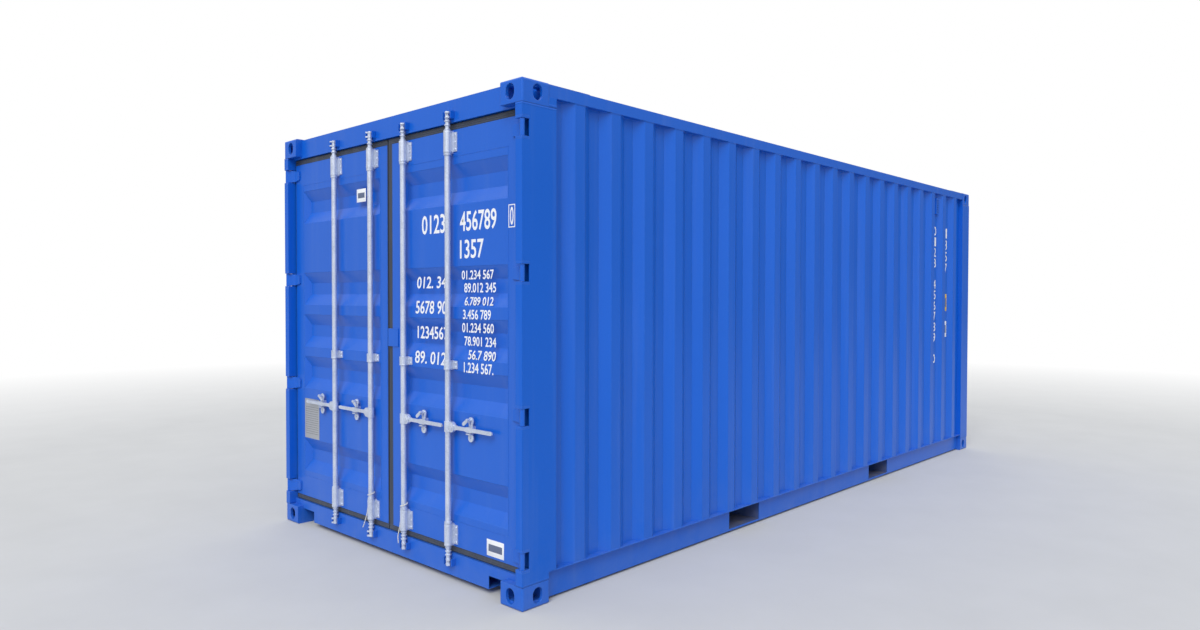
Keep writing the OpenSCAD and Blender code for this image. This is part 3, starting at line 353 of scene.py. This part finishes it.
def plateMetal():  # bare aluminium plate with etched blank lines
    material, tree, shader = newMaterial("dataPlateMetal", Metallic=plateLook["metal"])
    where = tree.nodes.new("ShaderNodeTexCoord").outputs["Object"]
    low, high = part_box("data_plate")
    parts = add(tree, "ShaderNodeSeparateXYZ", {0: where}).outputs
    rows = calc(tree, "FRACT", calc(tree, "MULTIPLY", parts[2], plateLook["rows"]))
    line = calc(tree, "LESS_THAN", rows, plateLook["line"])
    inset = calc(tree, "MULTIPLY", calc(tree, "GREATER_THAN", parts[1], low.y + plateLook["side"]),
                 calc(tree, "LESS_THAN", parts[1], high.y - plateLook["side"]))
    aboveFoot = calc(tree, "GREATER_THAN", parts[2], low.z + plateLook["foot"])
    belowHead = calc(tree, "LESS_THAN", parts[2], high.z - plateLook["head"])
    inset = calc(tree, "MULTIPLY", calc(tree, "MULTIPLY", inset, aboveFoot), belowHead)
    etched = calc(tree, "MULTIPLY", line, inset)
    drawn = add(tree, "ShaderNodeMapping", {"Vector": where, "Scale": (1.0, 4.0, 240.0)}).outputs[0]
    brushed = noise(tree, drawn, 2.0, 4.0)
    metal = mixed(tree, brushed, plateLook["dark"], plateLook["light"])
    colour = mixed(tree, calc(tree, "MULTIPLY", etched, 0.75), metal, plateLook["etched"])
    rough = calc(tree, "ADD", 0.36, calc(tree, "MULTIPLY", brushed, 0.15))
    bump = add(tree, "ShaderNodeBump", {"Strength": 0.3, "Distance": 0.0004,
                                        "Height": calc(tree, "SUBTRACT", brushed, etched)})
    feed(tree, shader, Base_Color=colour, Roughness=rough, Normal=bump.outputs[0])
    return material


filmLook = {"white": (0.78, 0.80, 0.83, 1), "yellow": (0.72, 0.46, 0.02, 1), "grey": (0.10, 0.13, 0.22, 1),
            "dust": (0.5, 0.5, 0.5, 1), "gloss": 0.45}


def vinyl(name, colour):  # cut film and stencil paint: slightly worn, matt
    material, tree, shader = newMaterial(name, Specular_IOR_Level=0.4)
    tone = use(tree, weathering, Paint=colour, Dust=filmLook["dust"], Fade=0.03, Streaks=0.06,
               Settled=0.1, Gloss=filmLook["gloss"])
    feed(tree, shader, Base_Color=tone["Color"], Roughness=tone["Roughness"])
    return material


boxPaint = containerPaint("containerPaint")
castPaint = containerPaint("castingPaint", bend=0.006, cast=0.35)
postJoints = (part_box("bottom_corner_castings")[1].z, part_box("top_corner_castings")[0].z)
postPaint = containerPaint("postPaint", shine=0.25, joints=postJoints)
wallPaint = {"right": containerPaint("wallPaintRight", (0, 1, 0), 0.008, 1.2, shine=0.35),
             "left": containerPaint("wallPaintLeft", (0, -1, 0), 0.008, 1.2, shine=0.35)}
frontPaint = containerPaint("frontWallPaint", (-1, 0, 0), 0.006, 1.2)
doorPaint = containerPaint("doorPaint", (1, 0, 0), 0.005, 0.8, shine=0.5)
roofPaint = containerPaint("roofPaint", (0, 0, -1), 0.006, 1.2, 0.28)
darkPaint, zinc, rubber = underframePaint(), galvanisedSteel(), gasketRubber()
plywood, rope, plateFinish = floorPlywood(), ropeFibre(), plateMetal()
whiteFilm = vinyl("whiteFilm", filmLook["white"])
yellowFilm = vinyl("yellowFilm", filmLook["yellow"])
greyFilm = vinyl("greyFilm", filmLook["grey"])


def dress(material, *names):
    for name in names:
        slots = nodes[name].data.materials
        slots.clear()
        slots.append(material)


def nodesLike(*words):
    return [name for name in nodes if any(word in name for word in words)]


dress(boxPaint, *nodes)
dress(castPaint, *nodesLike("corner_castings"))
dress(postPaint, *nodesLike("rear_post", "front_posts"))
dress(wallPaint["right"], "side_wall_right")
dress(wallPaint["left"], "side_wall_left")
dress(frontPaint, "front_wall")
dress(doorPaint, *nodesLike("_door_frame", "_door_panel"))
dress(roofPaint, *nodesLike("roof_panel", "roof_ends", "roof_corner"))
dress(darkPaint, *nodesLike("cross_members", "pocket_roofs", "pocket_sides", "pocket_straps"))
dress(zinc, *nodesLike("bearings", "retainers", "lock_rod", "handle", "catch", "hinge_pins"))
dress(rubber, *nodesLike("gasket"))
dress(plywood, "floor_boards")
dress(plateFinish, "data_plate")
print("CAD nodes dressed")


# Mesh helpers
def settle(form, name, body, material, crisp=35.0, tidy=False):
    if tidy:
        bmesh.ops.remove_doubles(form, verts=form.verts, dist=0.00002)
        bmesh.ops.recalc_face_normals(form, faces=form.faces)
    data = bpy.data.meshes.new(name)
    form.to_mesh(data)
    form.free()
    data.shade_smooth()
    data.set_sharp_from_angle(angle=math.radians(crisp))
    data.materials.append(material)
    piece = bpy.data.objects.new(name, data)
    bpy.context.scene.collection.objects.link(piece)
    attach(piece, body)
    return piece


def block(form, low, high, edge=0.0, segments=2, turn=None):
    size = [b - a for a, b in zip(low, high)]
    middle = Vector([(a + b) / 2 for a, b in zip(low, high)])
    seat = Matrix.Translation(middle) @ (turn or Matrix()) @ Matrix.Diagonal((*size, 1.0))
    corners = bmesh.ops.create_cube(form, size=1.0, matrix=seat)["verts"]
    if edge:
        edges = list({link for corner in corners for link in corner.link_edges})
        bmesh.ops.bevel(form, geom=edges, offset=edge, segments=segments, affect="EDGES", profile=0.5,
                        material=-1, clamp_overlap=True)


def rod(form, start, end, radius, sides=24, tip=None, edge=0.0):
    start, end = Vector(start), Vector(end)
    turn = (end - start).to_track_quat("Z", "Y").to_matrix().to_4x4()
    ring = bmesh.ops.create_cone(form, cap_ends=True, cap_tris=False, segments=sides, radius1=radius,
                                 radius2=radius if tip is None else tip, depth=(end - start).length,
                                 matrix=Matrix.Translation((start + end) / 2) @ turn)["verts"]
    if edge:
        rims = {link for corner in ring for link in corner.link_edges
                if any(len(face.verts) == sides for face in link.link_faces)}
        bmesh.ops.bevel(form, geom=list(rims), offset=edge, segments=2, affect="EDGES", profile=0.5,
                        material=-1, clamp_overlap=True)


def headings(path, twist=0.0):  # a frame at each point of a path, carried along without turning over
    points = [Vector(point) for point in path]
    last = len(points) - 1
    ahead = (points[1] - points[0]).normalized()
    turn = ahead.to_track_quat("Z", "Y")
    seats = []
    for count, point in enumerate(points):
        towards = (points[min(count + 1, last)] - points[max(count - 1, 0)]).normalized()
        turn = ahead.rotation_difference(towards) @ turn
        ahead = towards
        spun = turn @ Quaternion((0, 0, 1), twist * count)
        seats.append(Matrix.Translation(point) @ spun.to_matrix().to_4x4())
    return seats


def sweep(form, section, path, twist=0.0, sizes=None):  # section: edges of one ring round the origin
    seats = headings(path, twist)
    verts = list({corner for edge in section for corner in edge.verts})
    first = Matrix.Diagonal((sizes[0], sizes[0], 1, 1)) if sizes else Matrix()
    bmesh.ops.transform(form, matrix=seats[0] @ first, verts=verts)
    bmesh.ops.contextual_create(form, geom=section)
    ring, before = section, seats[0] @ first
    for count in range(1, len(seats)):
        scale = Matrix.Diagonal((sizes[count], sizes[count], 1, 1)) if sizes else Matrix()
        made = bmesh.ops.extrude_edge_only(form, edges=ring)["geom"]
        verts = [item for item in made if isinstance(item, bmesh.types.BMVert)]
        ring = [item for item in made if isinstance(item, bmesh.types.BMEdge)]
        now = seats[count] @ scale
        bmesh.ops.transform(form, matrix=now @ before.inverted(), verts=verts)
        before = now
    bmesh.ops.contextual_create(form, geom=ring)


def circle(form, radius, sides, lobes=0, depth=0.0):
    verts = bmesh.ops.create_circle(form, cap_ends=False, segments=sides, radius=radius)["verts"]
    if lobes:
        for vert in verts:
            vert.co *= 1.0 - depth * (1.0 - abs(math.cos(lobes * math.atan2(vert.co.y, vert.co.x) / 2.0)))
    return list({edge for vert in verts for edge in vert.link_edges})


def bead(form, path, radius, sides=6):
    sweep(form, circle(form, radius, sides), path)


def atDoor(u, y, z):  # a point given by its depth from the door plane, its y and its height, in mm
    return Vector((doorPlane + u * mm, y * mm, z * mm))


# Tie-back ropes: wrapped round the inner rods, the free end hanging past the lower bearing
ropes = {
    "diameter": 6, "rodDepth": 22.5, "rodRadius": 16, "gap": 0.45, "wrap": range(80, -241, -20),
    "fall": 12, "step": 1.6, "parts": 16, "lay": 20.0, "strands": 3, "sides": 24, "groove": 0.3,
    "ends": [0.72, 0.92],
    "left": {"y": 174, "top": 366,
             "tail": [(23, 26, 332), (24, 33, 308), (25, 38, 282), (26, 46, 245), (26, 58, 205),
                      (25, 76, 165), (24, 98, 125)]},
    "right": {"y": -174, "top": 360,
              "tail": [(23, 26, 326), (24, 32, 302), (25, 34, 275), (26, 40, 240), (26, 48, 205),
                       (25, 58, 170), (24, 64, 140), (24, 58, 108)]},
}


def ropeRoute(side):
    reach = ropes["rodRadius"] + ropes["diameter"] / 2 + ropes["gap"]
    points = []
    for angle in ropes["wrap"]:
        a = math.radians(angle)
        points.append((ropes["rodDepth"] + reach * math.cos(a), reach * math.sin(a),
                       side["top"] + (angle - ropes["wrap"][0]) / ropes["fall"]))
    points += side["tail"]
    return [atDoor(u, side["y"] + y, z) for u, y, z in points]


def evenly(points, step):  # smooth curve through the points, cut at even steps
    fine = []
    for i in range(len(points) - 1):
        a, b = points[max(i - 1, 0)], points[i]
        c, d = points[i + 1], points[min(i + 2, len(points) - 1)]
        for part in range(ropes["parts"]):
            t = part / ropes["parts"]
            fine.append(0.5 * (2 * b + (c - a) * t + (2 * a - 5 * b + 4 * c - d) * t * t
                               + (3 * b - a - 3 * c + d) * t ** 3))
    fine.append(points[-1])
    lengths = [0.0]
    for one, other in zip(fine, fine[1:]):
        lengths.append(lengths[-1] + (other - one).length)
    count = max(2, round(lengths[-1] / step))
    path, k = [], 0
    for i in range(count + 1):
        want = lengths[-1] * i / count
        while k < len(lengths) - 2 and lengths[k + 1] < want:
            k += 1
        share = (want - lengths[k]) / max(lengths[k + 1] - lengths[k], 1e-9)
        path.append(fine[k].lerp(fine[k + 1], min(share, 1.0)))
    return path, lengths[-1]


def makeRope(name, side, body, node):
    path, length = evenly(ropeRoute(side), ropes["step"] * mm)
    form = bmesh.new()
    twist = 2 * math.pi * ropes["step"] / ropes["lay"]
    ends = ropes["ends"]
    sizes = ends + [1.0] * (len(path) - 2 * len(ends)) + ends[::-1]
    section = circle(form, ropes["diameter"] / 2 * mm, ropes["sides"], ropes["strands"], ropes["groove"])
    sweep(form, section, path, twist, sizes)
    piece = settle(form, name, body, rope, crisp=80.0, tidy=True)
    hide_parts(node)


makeRope("leftTieRope", ropes["left"], "left_door", "left_door_rope")
makeRope("rightTieRope", ropes["right"], "right_door", "right_door_rope")
print("ropes made")

# Yard: pale floor, white surround, plain soft light
yard = {
    "reach": 26.0, "clear": 6.5, "fade": 15.0, "floor": (0.55, 0.56, 0.57, 1),
    "worn": (0.45, 0.46, 0.47, 1), "white": (1.0, 1.0, 1.0, 1), "sky": 0.82, "sun": 2.0, "sunSize": 34.0,
    "sunFrom": (-0.64, -0.36, 0.68), "skyline": 0.5, "brightSide": (-0.10, -0.99, 0.0),
    "dimSide": (0.80, -0.60, 0.0), "dim": 0.4,
}


def seenRays(tree):  # camera, glossy and transmission rays see the white surround
    path = tree.nodes.new("ShaderNodeLightPath").outputs
    seen = calc(tree, "MAXIMUM", path["Is Glossy Ray"], path["Is Transmission Ray"])
    return calc(tree, "MAXIMUM", path["Is Camera Ray"], seen), path["Is Glossy Ray"]


def makeFloor():
    form = bmesh.new()
    bmesh.ops.create_circle(form, cap_ends=True, segments=64, radius=yard["reach"])
    data = bpy.data.meshes.new("yardFloor")
    form.to_mesh(data)
    form.free()
    floor = bpy.data.objects.new("yardFloor", data)
    bpy.context.scene.collection.objects.link(floor)
    material = bpy.data.materials.new("yardFloor")
    material.use_nodes = True
    tree = material.node_tree
    shader = tree.nodes["Principled BSDF"]
    shader.inputs["Roughness"].default_value = 0.85
    shader.inputs["Specular IOR Level"].default_value = 0.2
    where = tree.nodes.new("ShaderNodeTexCoord").outputs["Object"]
    mottle = noise(tree, where, 2.0, 6.0, 0.6)
    shade = mixed(tree, spread(tree, mottle, 0.3, 0.7, 0.0, 0.25), yard["floor"], yard["worn"])
    feed(tree, shader, Base_Color=shade)
    reach = add(tree, "ShaderNodeVectorMath", {0: where}, operation="LENGTH").outputs["Value"]
    away = spread(tree, reach, yard["clear"], yard["fade"])
    seen, glossy = seenRays(tree)
    strength = spread(tree, glossy, 0.0, 1.0, 1.0, yard["skyline"])
    glow = add(tree, "ShaderNodeEmission", {"Color": yard["white"], "Strength": strength})
    far = calc(tree, "MULTIPLY", away, seen)
    blend = add(tree, "ShaderNodeMixShader", {0: far, 1: shader.outputs[0], 2: glow.outputs[0]})
    tree.links.new(blend.outputs[0], tree.nodes["Material Output"].inputs[0])
    data.materials.append(material)


def makeLight():
    world = bpy.data.worlds.new("yardSky")
    bpy.context.scene.world = world
    world.use_nodes = True
    tree = world.node_tree
    seen, glossy = seenRays(tree)
    strength = spread(tree, seen, 0.0, 1.0, yard["sky"], 1.0)
    way = tree.nodes.new("ShaderNodeTexCoord").outputs["Generated"]
    height = add(tree, "ShaderNodeSeparateXYZ", {0: way}).outputs[2]
    openSky = spread(tree, height, 0.10, 0.45)
    bright = spread(tree, dot(tree, way, yard["brightSide"]), 0.70, 0.92)
    dim = spread(tree, dot(tree, way, yard["dimSide"]), 0.70, 0.92, 1.0, yard["dim"])
    skyline = calc(tree, "MULTIPLY", yard["skyline"], dim)
    sheen = calc(tree, "MAXIMUM", calc(tree, "MAXIMUM", bright, skyline), openSky)
    plain = calc(tree, "SUBTRACT", 1.0, glossy)
    shaped = calc(tree, "MULTIPLY", glossy, sheen)  # reflections see open sky over a dimmer skyline
    strength = calc(tree, "MULTIPLY", strength, calc(tree, "ADD", plain, shaped))
    base = tree.nodes["Background"]
    base.inputs["Color"].default_value = yard["white"]
    tree.links.new(strength, base.inputs["Strength"])
    data = bpy.data.lights.new("yardSun", "SUN")
    data.energy = yard["sun"]
    data.angle = math.radians(yard["sunSize"])
    lamp = bpy.data.objects.new("yardSun", data)
    lamp.rotation_euler = Vector(yard["sunFrom"]).to_track_quat("Z", "Y").to_euler()
    bpy.context.scene.collection.objects.link(lamp)


makeFloor()
makeLight()
bpy.context.scene.view_settings.view_transform = "Standard"
print("yard made")

# Gasket lips: ribs of the extruded rubber seen round the leaves and down the seam
lips = {"rib": 2.6, "root": 56.5, "inset": 3.5, "top": (2430, 2441, 2452), "foot": (162, 172, 183),
        "seam": (-11, 5, 17)}


def rib(form, start, end):
    ends = [atDoor(lips["root"], y, z) for y, z in (start, end)]
    bead(form, ends, lips["rib"] * mm, 8)


def makeLips():
    for body, side in (("right_door", -1), ("left_door", 1)):
        low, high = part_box(body + "_gasket")
        edge = max(abs(low.y), abs(high.y)) / mm - lips["inset"]
        seam = min(abs(low.y), abs(high.y)) / mm
        form = bmesh.new()
        inner = -lips["seam"][-1] if side < 0 else seam + 1
        for z in lips["top"] + lips["foot"]:
            rib(form, (side * inner, z), (side * edge, z))
        rib(form, (side * edge, lips["foot"][0]), (side * edge, lips["top"][-1]))
        if side < 0:
            for y in lips["seam"]:
                rib(form, (y, lips["foot"][-1]), (y, lips["top"][0]))
        settle(form, body + "_gasket_lips", body, rubber, tidy=True)


makeLips()
print("gasket lips made")

# Lock rod ends: washers on the spindles, rivets in the bearing feet, pins in the handles
gear = {
    "rods": {"right_outer": -596, "right_inner": -174, "left_inner": 174, "left_outer": 596},
    "leaves": {"right_door": ("right_outer", "right_inner"), "left_door": ("left_inner", "left_outer")},
    "depth": 22.5, "washers": (2424, 2447, 2468, 184, 166, 146), "washer": 17.0, "washerThick": 6.0,
    "footFace": 48, "footOut": 34, "rivet": 7.0, "rivetHigh": 4.5, "ring": 22.2, "ringThick": 6.0,
    "bearings": {"top": (2359, 118), "guide": (1168, 50), "low": (253, 118)}, "threeRivets": 100,
    "handleZ": 838, "pin": 7.0, "pinOut": 53, "pinHalf": 9.0, "hub": 16.0, "hubOut": 33, "hubFront": 13.5,
}


def rivet(form, seat, radius, high):  # low dome standing on a face that looks at the viewer
    dome = bmesh.ops.create_uvsphere(form, u_segments=12, v_segments=8, radius=radius)["verts"]
    lower = [vert for vert in dome if vert.co.z < -0.0001 * radius]
    bmesh.ops.delete(form, geom=lower, context="VERTS")
    dome = [vert for vert in dome if vert.is_valid]
    squash = Matrix.Diagonal((1, 1, high / radius, 1))
    turn = Vector((-1, 0, 0)).to_track_quat("Z", "Y").to_matrix().to_4x4()
    bmesh.ops.transform(form, matrix=Matrix.Translation(seat) @ turn @ squash, verts=dome)


def collar(form, y, z, thick, radius, sides, edge):  # a disc round a lock rod
    rod(form, atDoor(gear["depth"], y, z - thick / 2), atDoor(gear["depth"], y, z + thick / 2),
        radius * mm, sides, edge=edge)


def makeRodFittings():
    for name, y in gear["rods"].items():
        form = bmesh.new()
        for z in gear["washers"]:
            collar(form, y, z, gear["washerThick"], gear["washer"], 28, 0.0012)
        depth, z = gear["depth"], gear["handleZ"]
        out = y + math.copysign(gear["pinOut"], y)
        rod(form, atDoor(depth - gear["pinHalf"], out, z), atDoor(depth + gear["pinHalf"], out, z),
            gear["pin"] * mm, 16, edge=0.0012)
        out = y + math.copysign(gear["hubOut"], y)
        rod(form, atDoor(depth - gear["hubFront"], out, z), atDoor(depth - gear["pinHalf"], out, z),
            gear["hub"] * mm, 28, edge=0.002)
        settle(form, "lock_fittings_" + name, "rod_" + name, zinc, tidy=True)


def makeBearingRivets():
    for body, rods in gear["leaves"].items():
        form = bmesh.new()
        for name in rods:
            y = gear["rods"][name]
            for middle, tall in gear["bearings"].values():
                shares = (-0.33, 0.0, 0.33) if tall > gear["threeRivets"] else (-0.22, 0.22)
                for share in shares:
                    rivet(form, atDoor(gear["footFace"], y - gear["footOut"], middle + share * tall),
                          gear["rivet"] * mm, gear["rivetHigh"] * mm)
                for end in (-0.42, 0.42):
                    collar(form, y, middle + end * tall, gear["ringThick"], gear["ring"], 32, 0.001)
        settle(form, body + "_bearing_rivets", body, zinc)


makeRodFittings()
makeBearingRivets()
print("rod fittings and rivets made")

# Weld beads along joints that show
welds = {
    "bead": 2.6, "wallFoot": 158.5, "wallHead": 2522.0,
    "fold": {"start": 230, "pitch": 278, "count": 21, "flat": 70, "rise": 138, "crest": 210,
             "inner": 1177.6, "outer": 1213.6},
    "panelBead": 1.4, "panelDepth": 53.4,
    "hinges": (245, 947.3, 1649.7, 2352), "stitch": 3.0, "rows": (-18, 0, 18),
    "ends": {"depth": 51.5, "y": 1100.5, "half": 6},
    "sides": {"depth": 52.5, "y": (1150, 1104), "z": (35, 29)},
}


def wallEdge(side, z):  # outer line of the folded side wall
    fold = welds["fold"]
    points = []
    for count in range(fold["count"]):
        start = fold["start"] + fold["pitch"] * count
        points += [(start, fold["inner"]), (start + fold["flat"], fold["inner"])]
        if count < fold["count"] - 1:
            points += [(start + fold["rise"], fold["outer"]), (start + fold["crest"], fold["outer"])]
    return [atDoor(u, side * y, z) for u, y in points]


def makeWallWelds():
    form = bmesh.new()
    for side in (-1, 1):
        for z in (welds["wallFoot"], welds["wallHead"]):
            bead(form, wallEdge(side, z), welds["bead"] * mm)
    settle(form, "wall_weld_beads", "container", boxPaint, crisp=60, tidy=True)


def panelWelds(form, body):  # all round the pressed panel
    low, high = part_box(body + "_panel")
    ring = [(low.y, low.z), (high.y, low.z), (high.y, high.z), (low.y, high.z), (low.y, low.z)]
    for corner, following in zip(ring, ring[1:]):
        ends = [atDoor(welds["panelDepth"], y / mm, z / mm) for y, z in (corner, following)]
        bead(form, ends, welds["panelBead"] * mm)


def hingeWelds(form, side):  # short runs at the end and along both edges of each hinge blade
    ends, sides = welds["ends"], welds["sides"]
    for z in welds["hinges"]:
        for row in welds["rows"]:
            run = [atDoor(ends["depth"], side * ends["y"], z + row + half)
                   for half in (-ends["half"], ends["half"])]
            bead(form, run, welds["stitch"] * mm)
        for edge in (-1, 1):
            run = [atDoor(sides["depth"], side * y, z + edge * off)
                   for y, off in zip(sides["y"], sides["z"])]
            bead(form, run, welds["stitch"] * mm)


def makeDoorWelds():
    for body, side in (("right_door", -1), ("left_door", 1)):
        form = bmesh.new()
        panelWelds(form, body)
        hingeWelds(form, side)
        settle(form, body + "_weld_beads", body, boxPaint, crisp=60, tidy=True)


makeWallWelds()
makeDoorWelds()
print("welds made")

# Markings: plain figures in place of lettering, cut from thin film
marks = {
    "film": 0.35, "leafDepth": 52.8, "wallFace": 1178.0,
    "lines": [("0123", 316, 532, 1880, 1985, 0.0), ("456789", 663, 965, 1879, 1985, 0.0),
              ("1357", 663, 862, 1735, 1835, 0.0),
              ("012. 34.", 268, 560, 1580, 1646, 0.12), ("5678 90.", 252, 560, 1438, 1512, 0.12),
              ("1234567", 272, 560, 1299, 1370, 0.0), ("89. 012.", 245, 555, 1158, 1230, 0.12)],
    "values": [("01.234 567", 678, 943, 1624, 1673, 0.0), ("89.012 345", 700, 961, 1555, 1606, 0.0),
               ("6.789 012", 703, 940, 1487, 1533, 0.2), ("3.456 789", 688, 920, 1414, 1466, 0.0),
               ("01.234 560", 681, 943, 1345, 1396, 0.0), ("78.901 234", 700, 961, 1275, 1325, 0.0),
               ("56.7 890", 730, 959, 1203, 1254, 0.2), ("1.234 567.", 695, 939, 1132, 1188, 0.0)],
    "box": (1058, 1108, 1878, 1993), "boxLine": 5, "boxMargin": 12, "boxDepth": (52.45, 53.1),
    "wall": (("first", 5269, 897, 2216, "0123 456789 0"), ("second", 5547, 1760, 2215, "1357")),
    "wallHalf": 26, "wallFill": 0.84,
}


def film(text, name, body, material, seat, left, right, foot, head, slant=0.0):
    curve = bpy.data.curves.new(name, "FONT")
    curve.body = text
    curve.extrude = 0.5
    curve.shear = slant
    curve.offset = 0.014
    curve.resolution_u = 3
    source = bpy.data.objects.new(name + "Source", curve)
    bpy.context.scene.collection.objects.link(source)
    bpy.context.view_layer.update()
    data = bpy.data.meshes.new_from_object(source)
    bpy.data.objects.remove(source)
    low = Vector([min(vert.co[i] for vert in data.vertices) for i in range(3)])
    high = Vector([max(vert.co[i] for vert in data.vertices) for i in range(3)])
    fit = Matrix.Diagonal(((right - left) * mm / (high.x - low.x), (head - foot) * mm / (high.y - low.y),
                           marks["film"] * mm, 1.0))
    shift = Matrix.Translation((left * mm - low.x * fit[0][0], foot * mm - low.y * fit[1][1], 0.0))
    data.transform(seat @ shift @ fit)
    data.name = name
    data.materials.clear()
    data.materials.append(material)
    piece = bpy.data.objects.new(name, data)
    bpy.context.scene.collection.objects.link(piece)
    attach(piece, body)
    return piece


# Seats turn the film's x and y into the surface's own directions
leafSeat = Matrix.Translation((doorPlane + marks["leafDepth"] * mm, 0, 0)) @ Matrix(
    ((0, 0, -1, 0), (-1, 0, 0, 0), (0, 1, 0, 0), (0, 0, 0, 1)))
wallSeat = Matrix.Translation((doorPlane, -marks["wallFace"] * mm, 0)) @ Matrix(
    ((1, 0, 0, 0), (0, 0, -1, 0), (0, 1, 0, 0), (0, 0, 0, 1)))


def makeDoorMarks():
    for kind, name in (("lines", "door_figures_%d"), ("values", "door_values_%d")):
        for count, (text, *place, slant) in enumerate(marks[kind]):
            film(text, name % count, "right_door", whiteFilm, leafSeat, *place, slant)
    left, right, foot, head = marks["box"]
    gap = marks["boxMargin"]
    film("0", "door_check_figure", "right_door", whiteFilm, leafSeat, left + gap, right - gap,
         foot + gap, head - gap)
    form = bmesh.new()
    line = marks["boxLine"]
    front, back = [doorPlane + depth * mm for depth in marks["boxDepth"]]
    for a, b, low, high in ((left, right, foot, foot + line), (left, right, head - line, head),
                            (left, left + line, foot + line, head - line),
                            (right - line, right, foot + line, head - line)):
        block(form, (front, -b * mm, low * mm), (back, -a * mm, high * mm))
    settle(form, "door_check_box", "right_door", whiteFilm)


def makeWallMarks():  # one figure above the other, read downwards
    half = marks["wallHalf"]
    for key, middle, foot, head, text in marks["wall"]:
        pitch = (head - foot) / len(text)
        for count, figure in enumerate(text):
            if figure != " ":
                top = head - count * pitch
                film(figure, "wall_figure_%s_%d" % (key, count), "container", whiteFilm, wallSeat,
                     middle - half, middle + half, top - pitch * marks["wallFill"], top)


makeDoorMarks()
makeWallMarks()
print("markings made")

# Stickers: blank film with a grey patch
stickers = {
    "places": (("right_door", -1021, -885, 200, 285, whiteFilm),
               ("left_door", 270, 374, 2115, 2195, whiteFilm),
               ("container", 5517, 5577, 1409, 1575, yellowFilm),
               ("container", 5517, 5577, 1154, 1311, whiteFilm)),
    "side": 14, "leafEnds": 24, "wallEnds": 40, "round": 0.3, "patchRound": 0.1,
    "leafFilm": (52.3, 53.2), "leafPatch": (52.2, 52.5),
    "wallFilm": (-1178.3, -1177.4), "wallPatch": (-1178.5, -1178.1),
}


def patch(name, body, material, depths, a, b, foot, head, edge):
    near, far = depths
    if body == "container":
        low, high = (a, near, foot), (b, far, head)
    else:
        low, high = (near, a, foot), (far, b, head)
    form = bmesh.new()
    block(form, atDoor(*low), atDoor(*high), edge * mm)
    settle(form, name, body, material)


def makeStickers():
    side = stickers["side"]
    for count, (body, a, b, foot, head, material) in enumerate(stickers["places"]):
        where = "wall" if body == "container" else "leaf"
        ends = stickers[where + "Ends"]
        patch("sticker_%d" % count, body, material, stickers[where + "Film"], a, b, foot, head,
              stickers["round"])
        patch("sticker_panel_%d" % count, body, greyFilm, stickers[where + "Patch"], a + side, b - side,
              foot + ends, head - ends, stickers["patchRound"])


makeStickers()
print("stickers made")
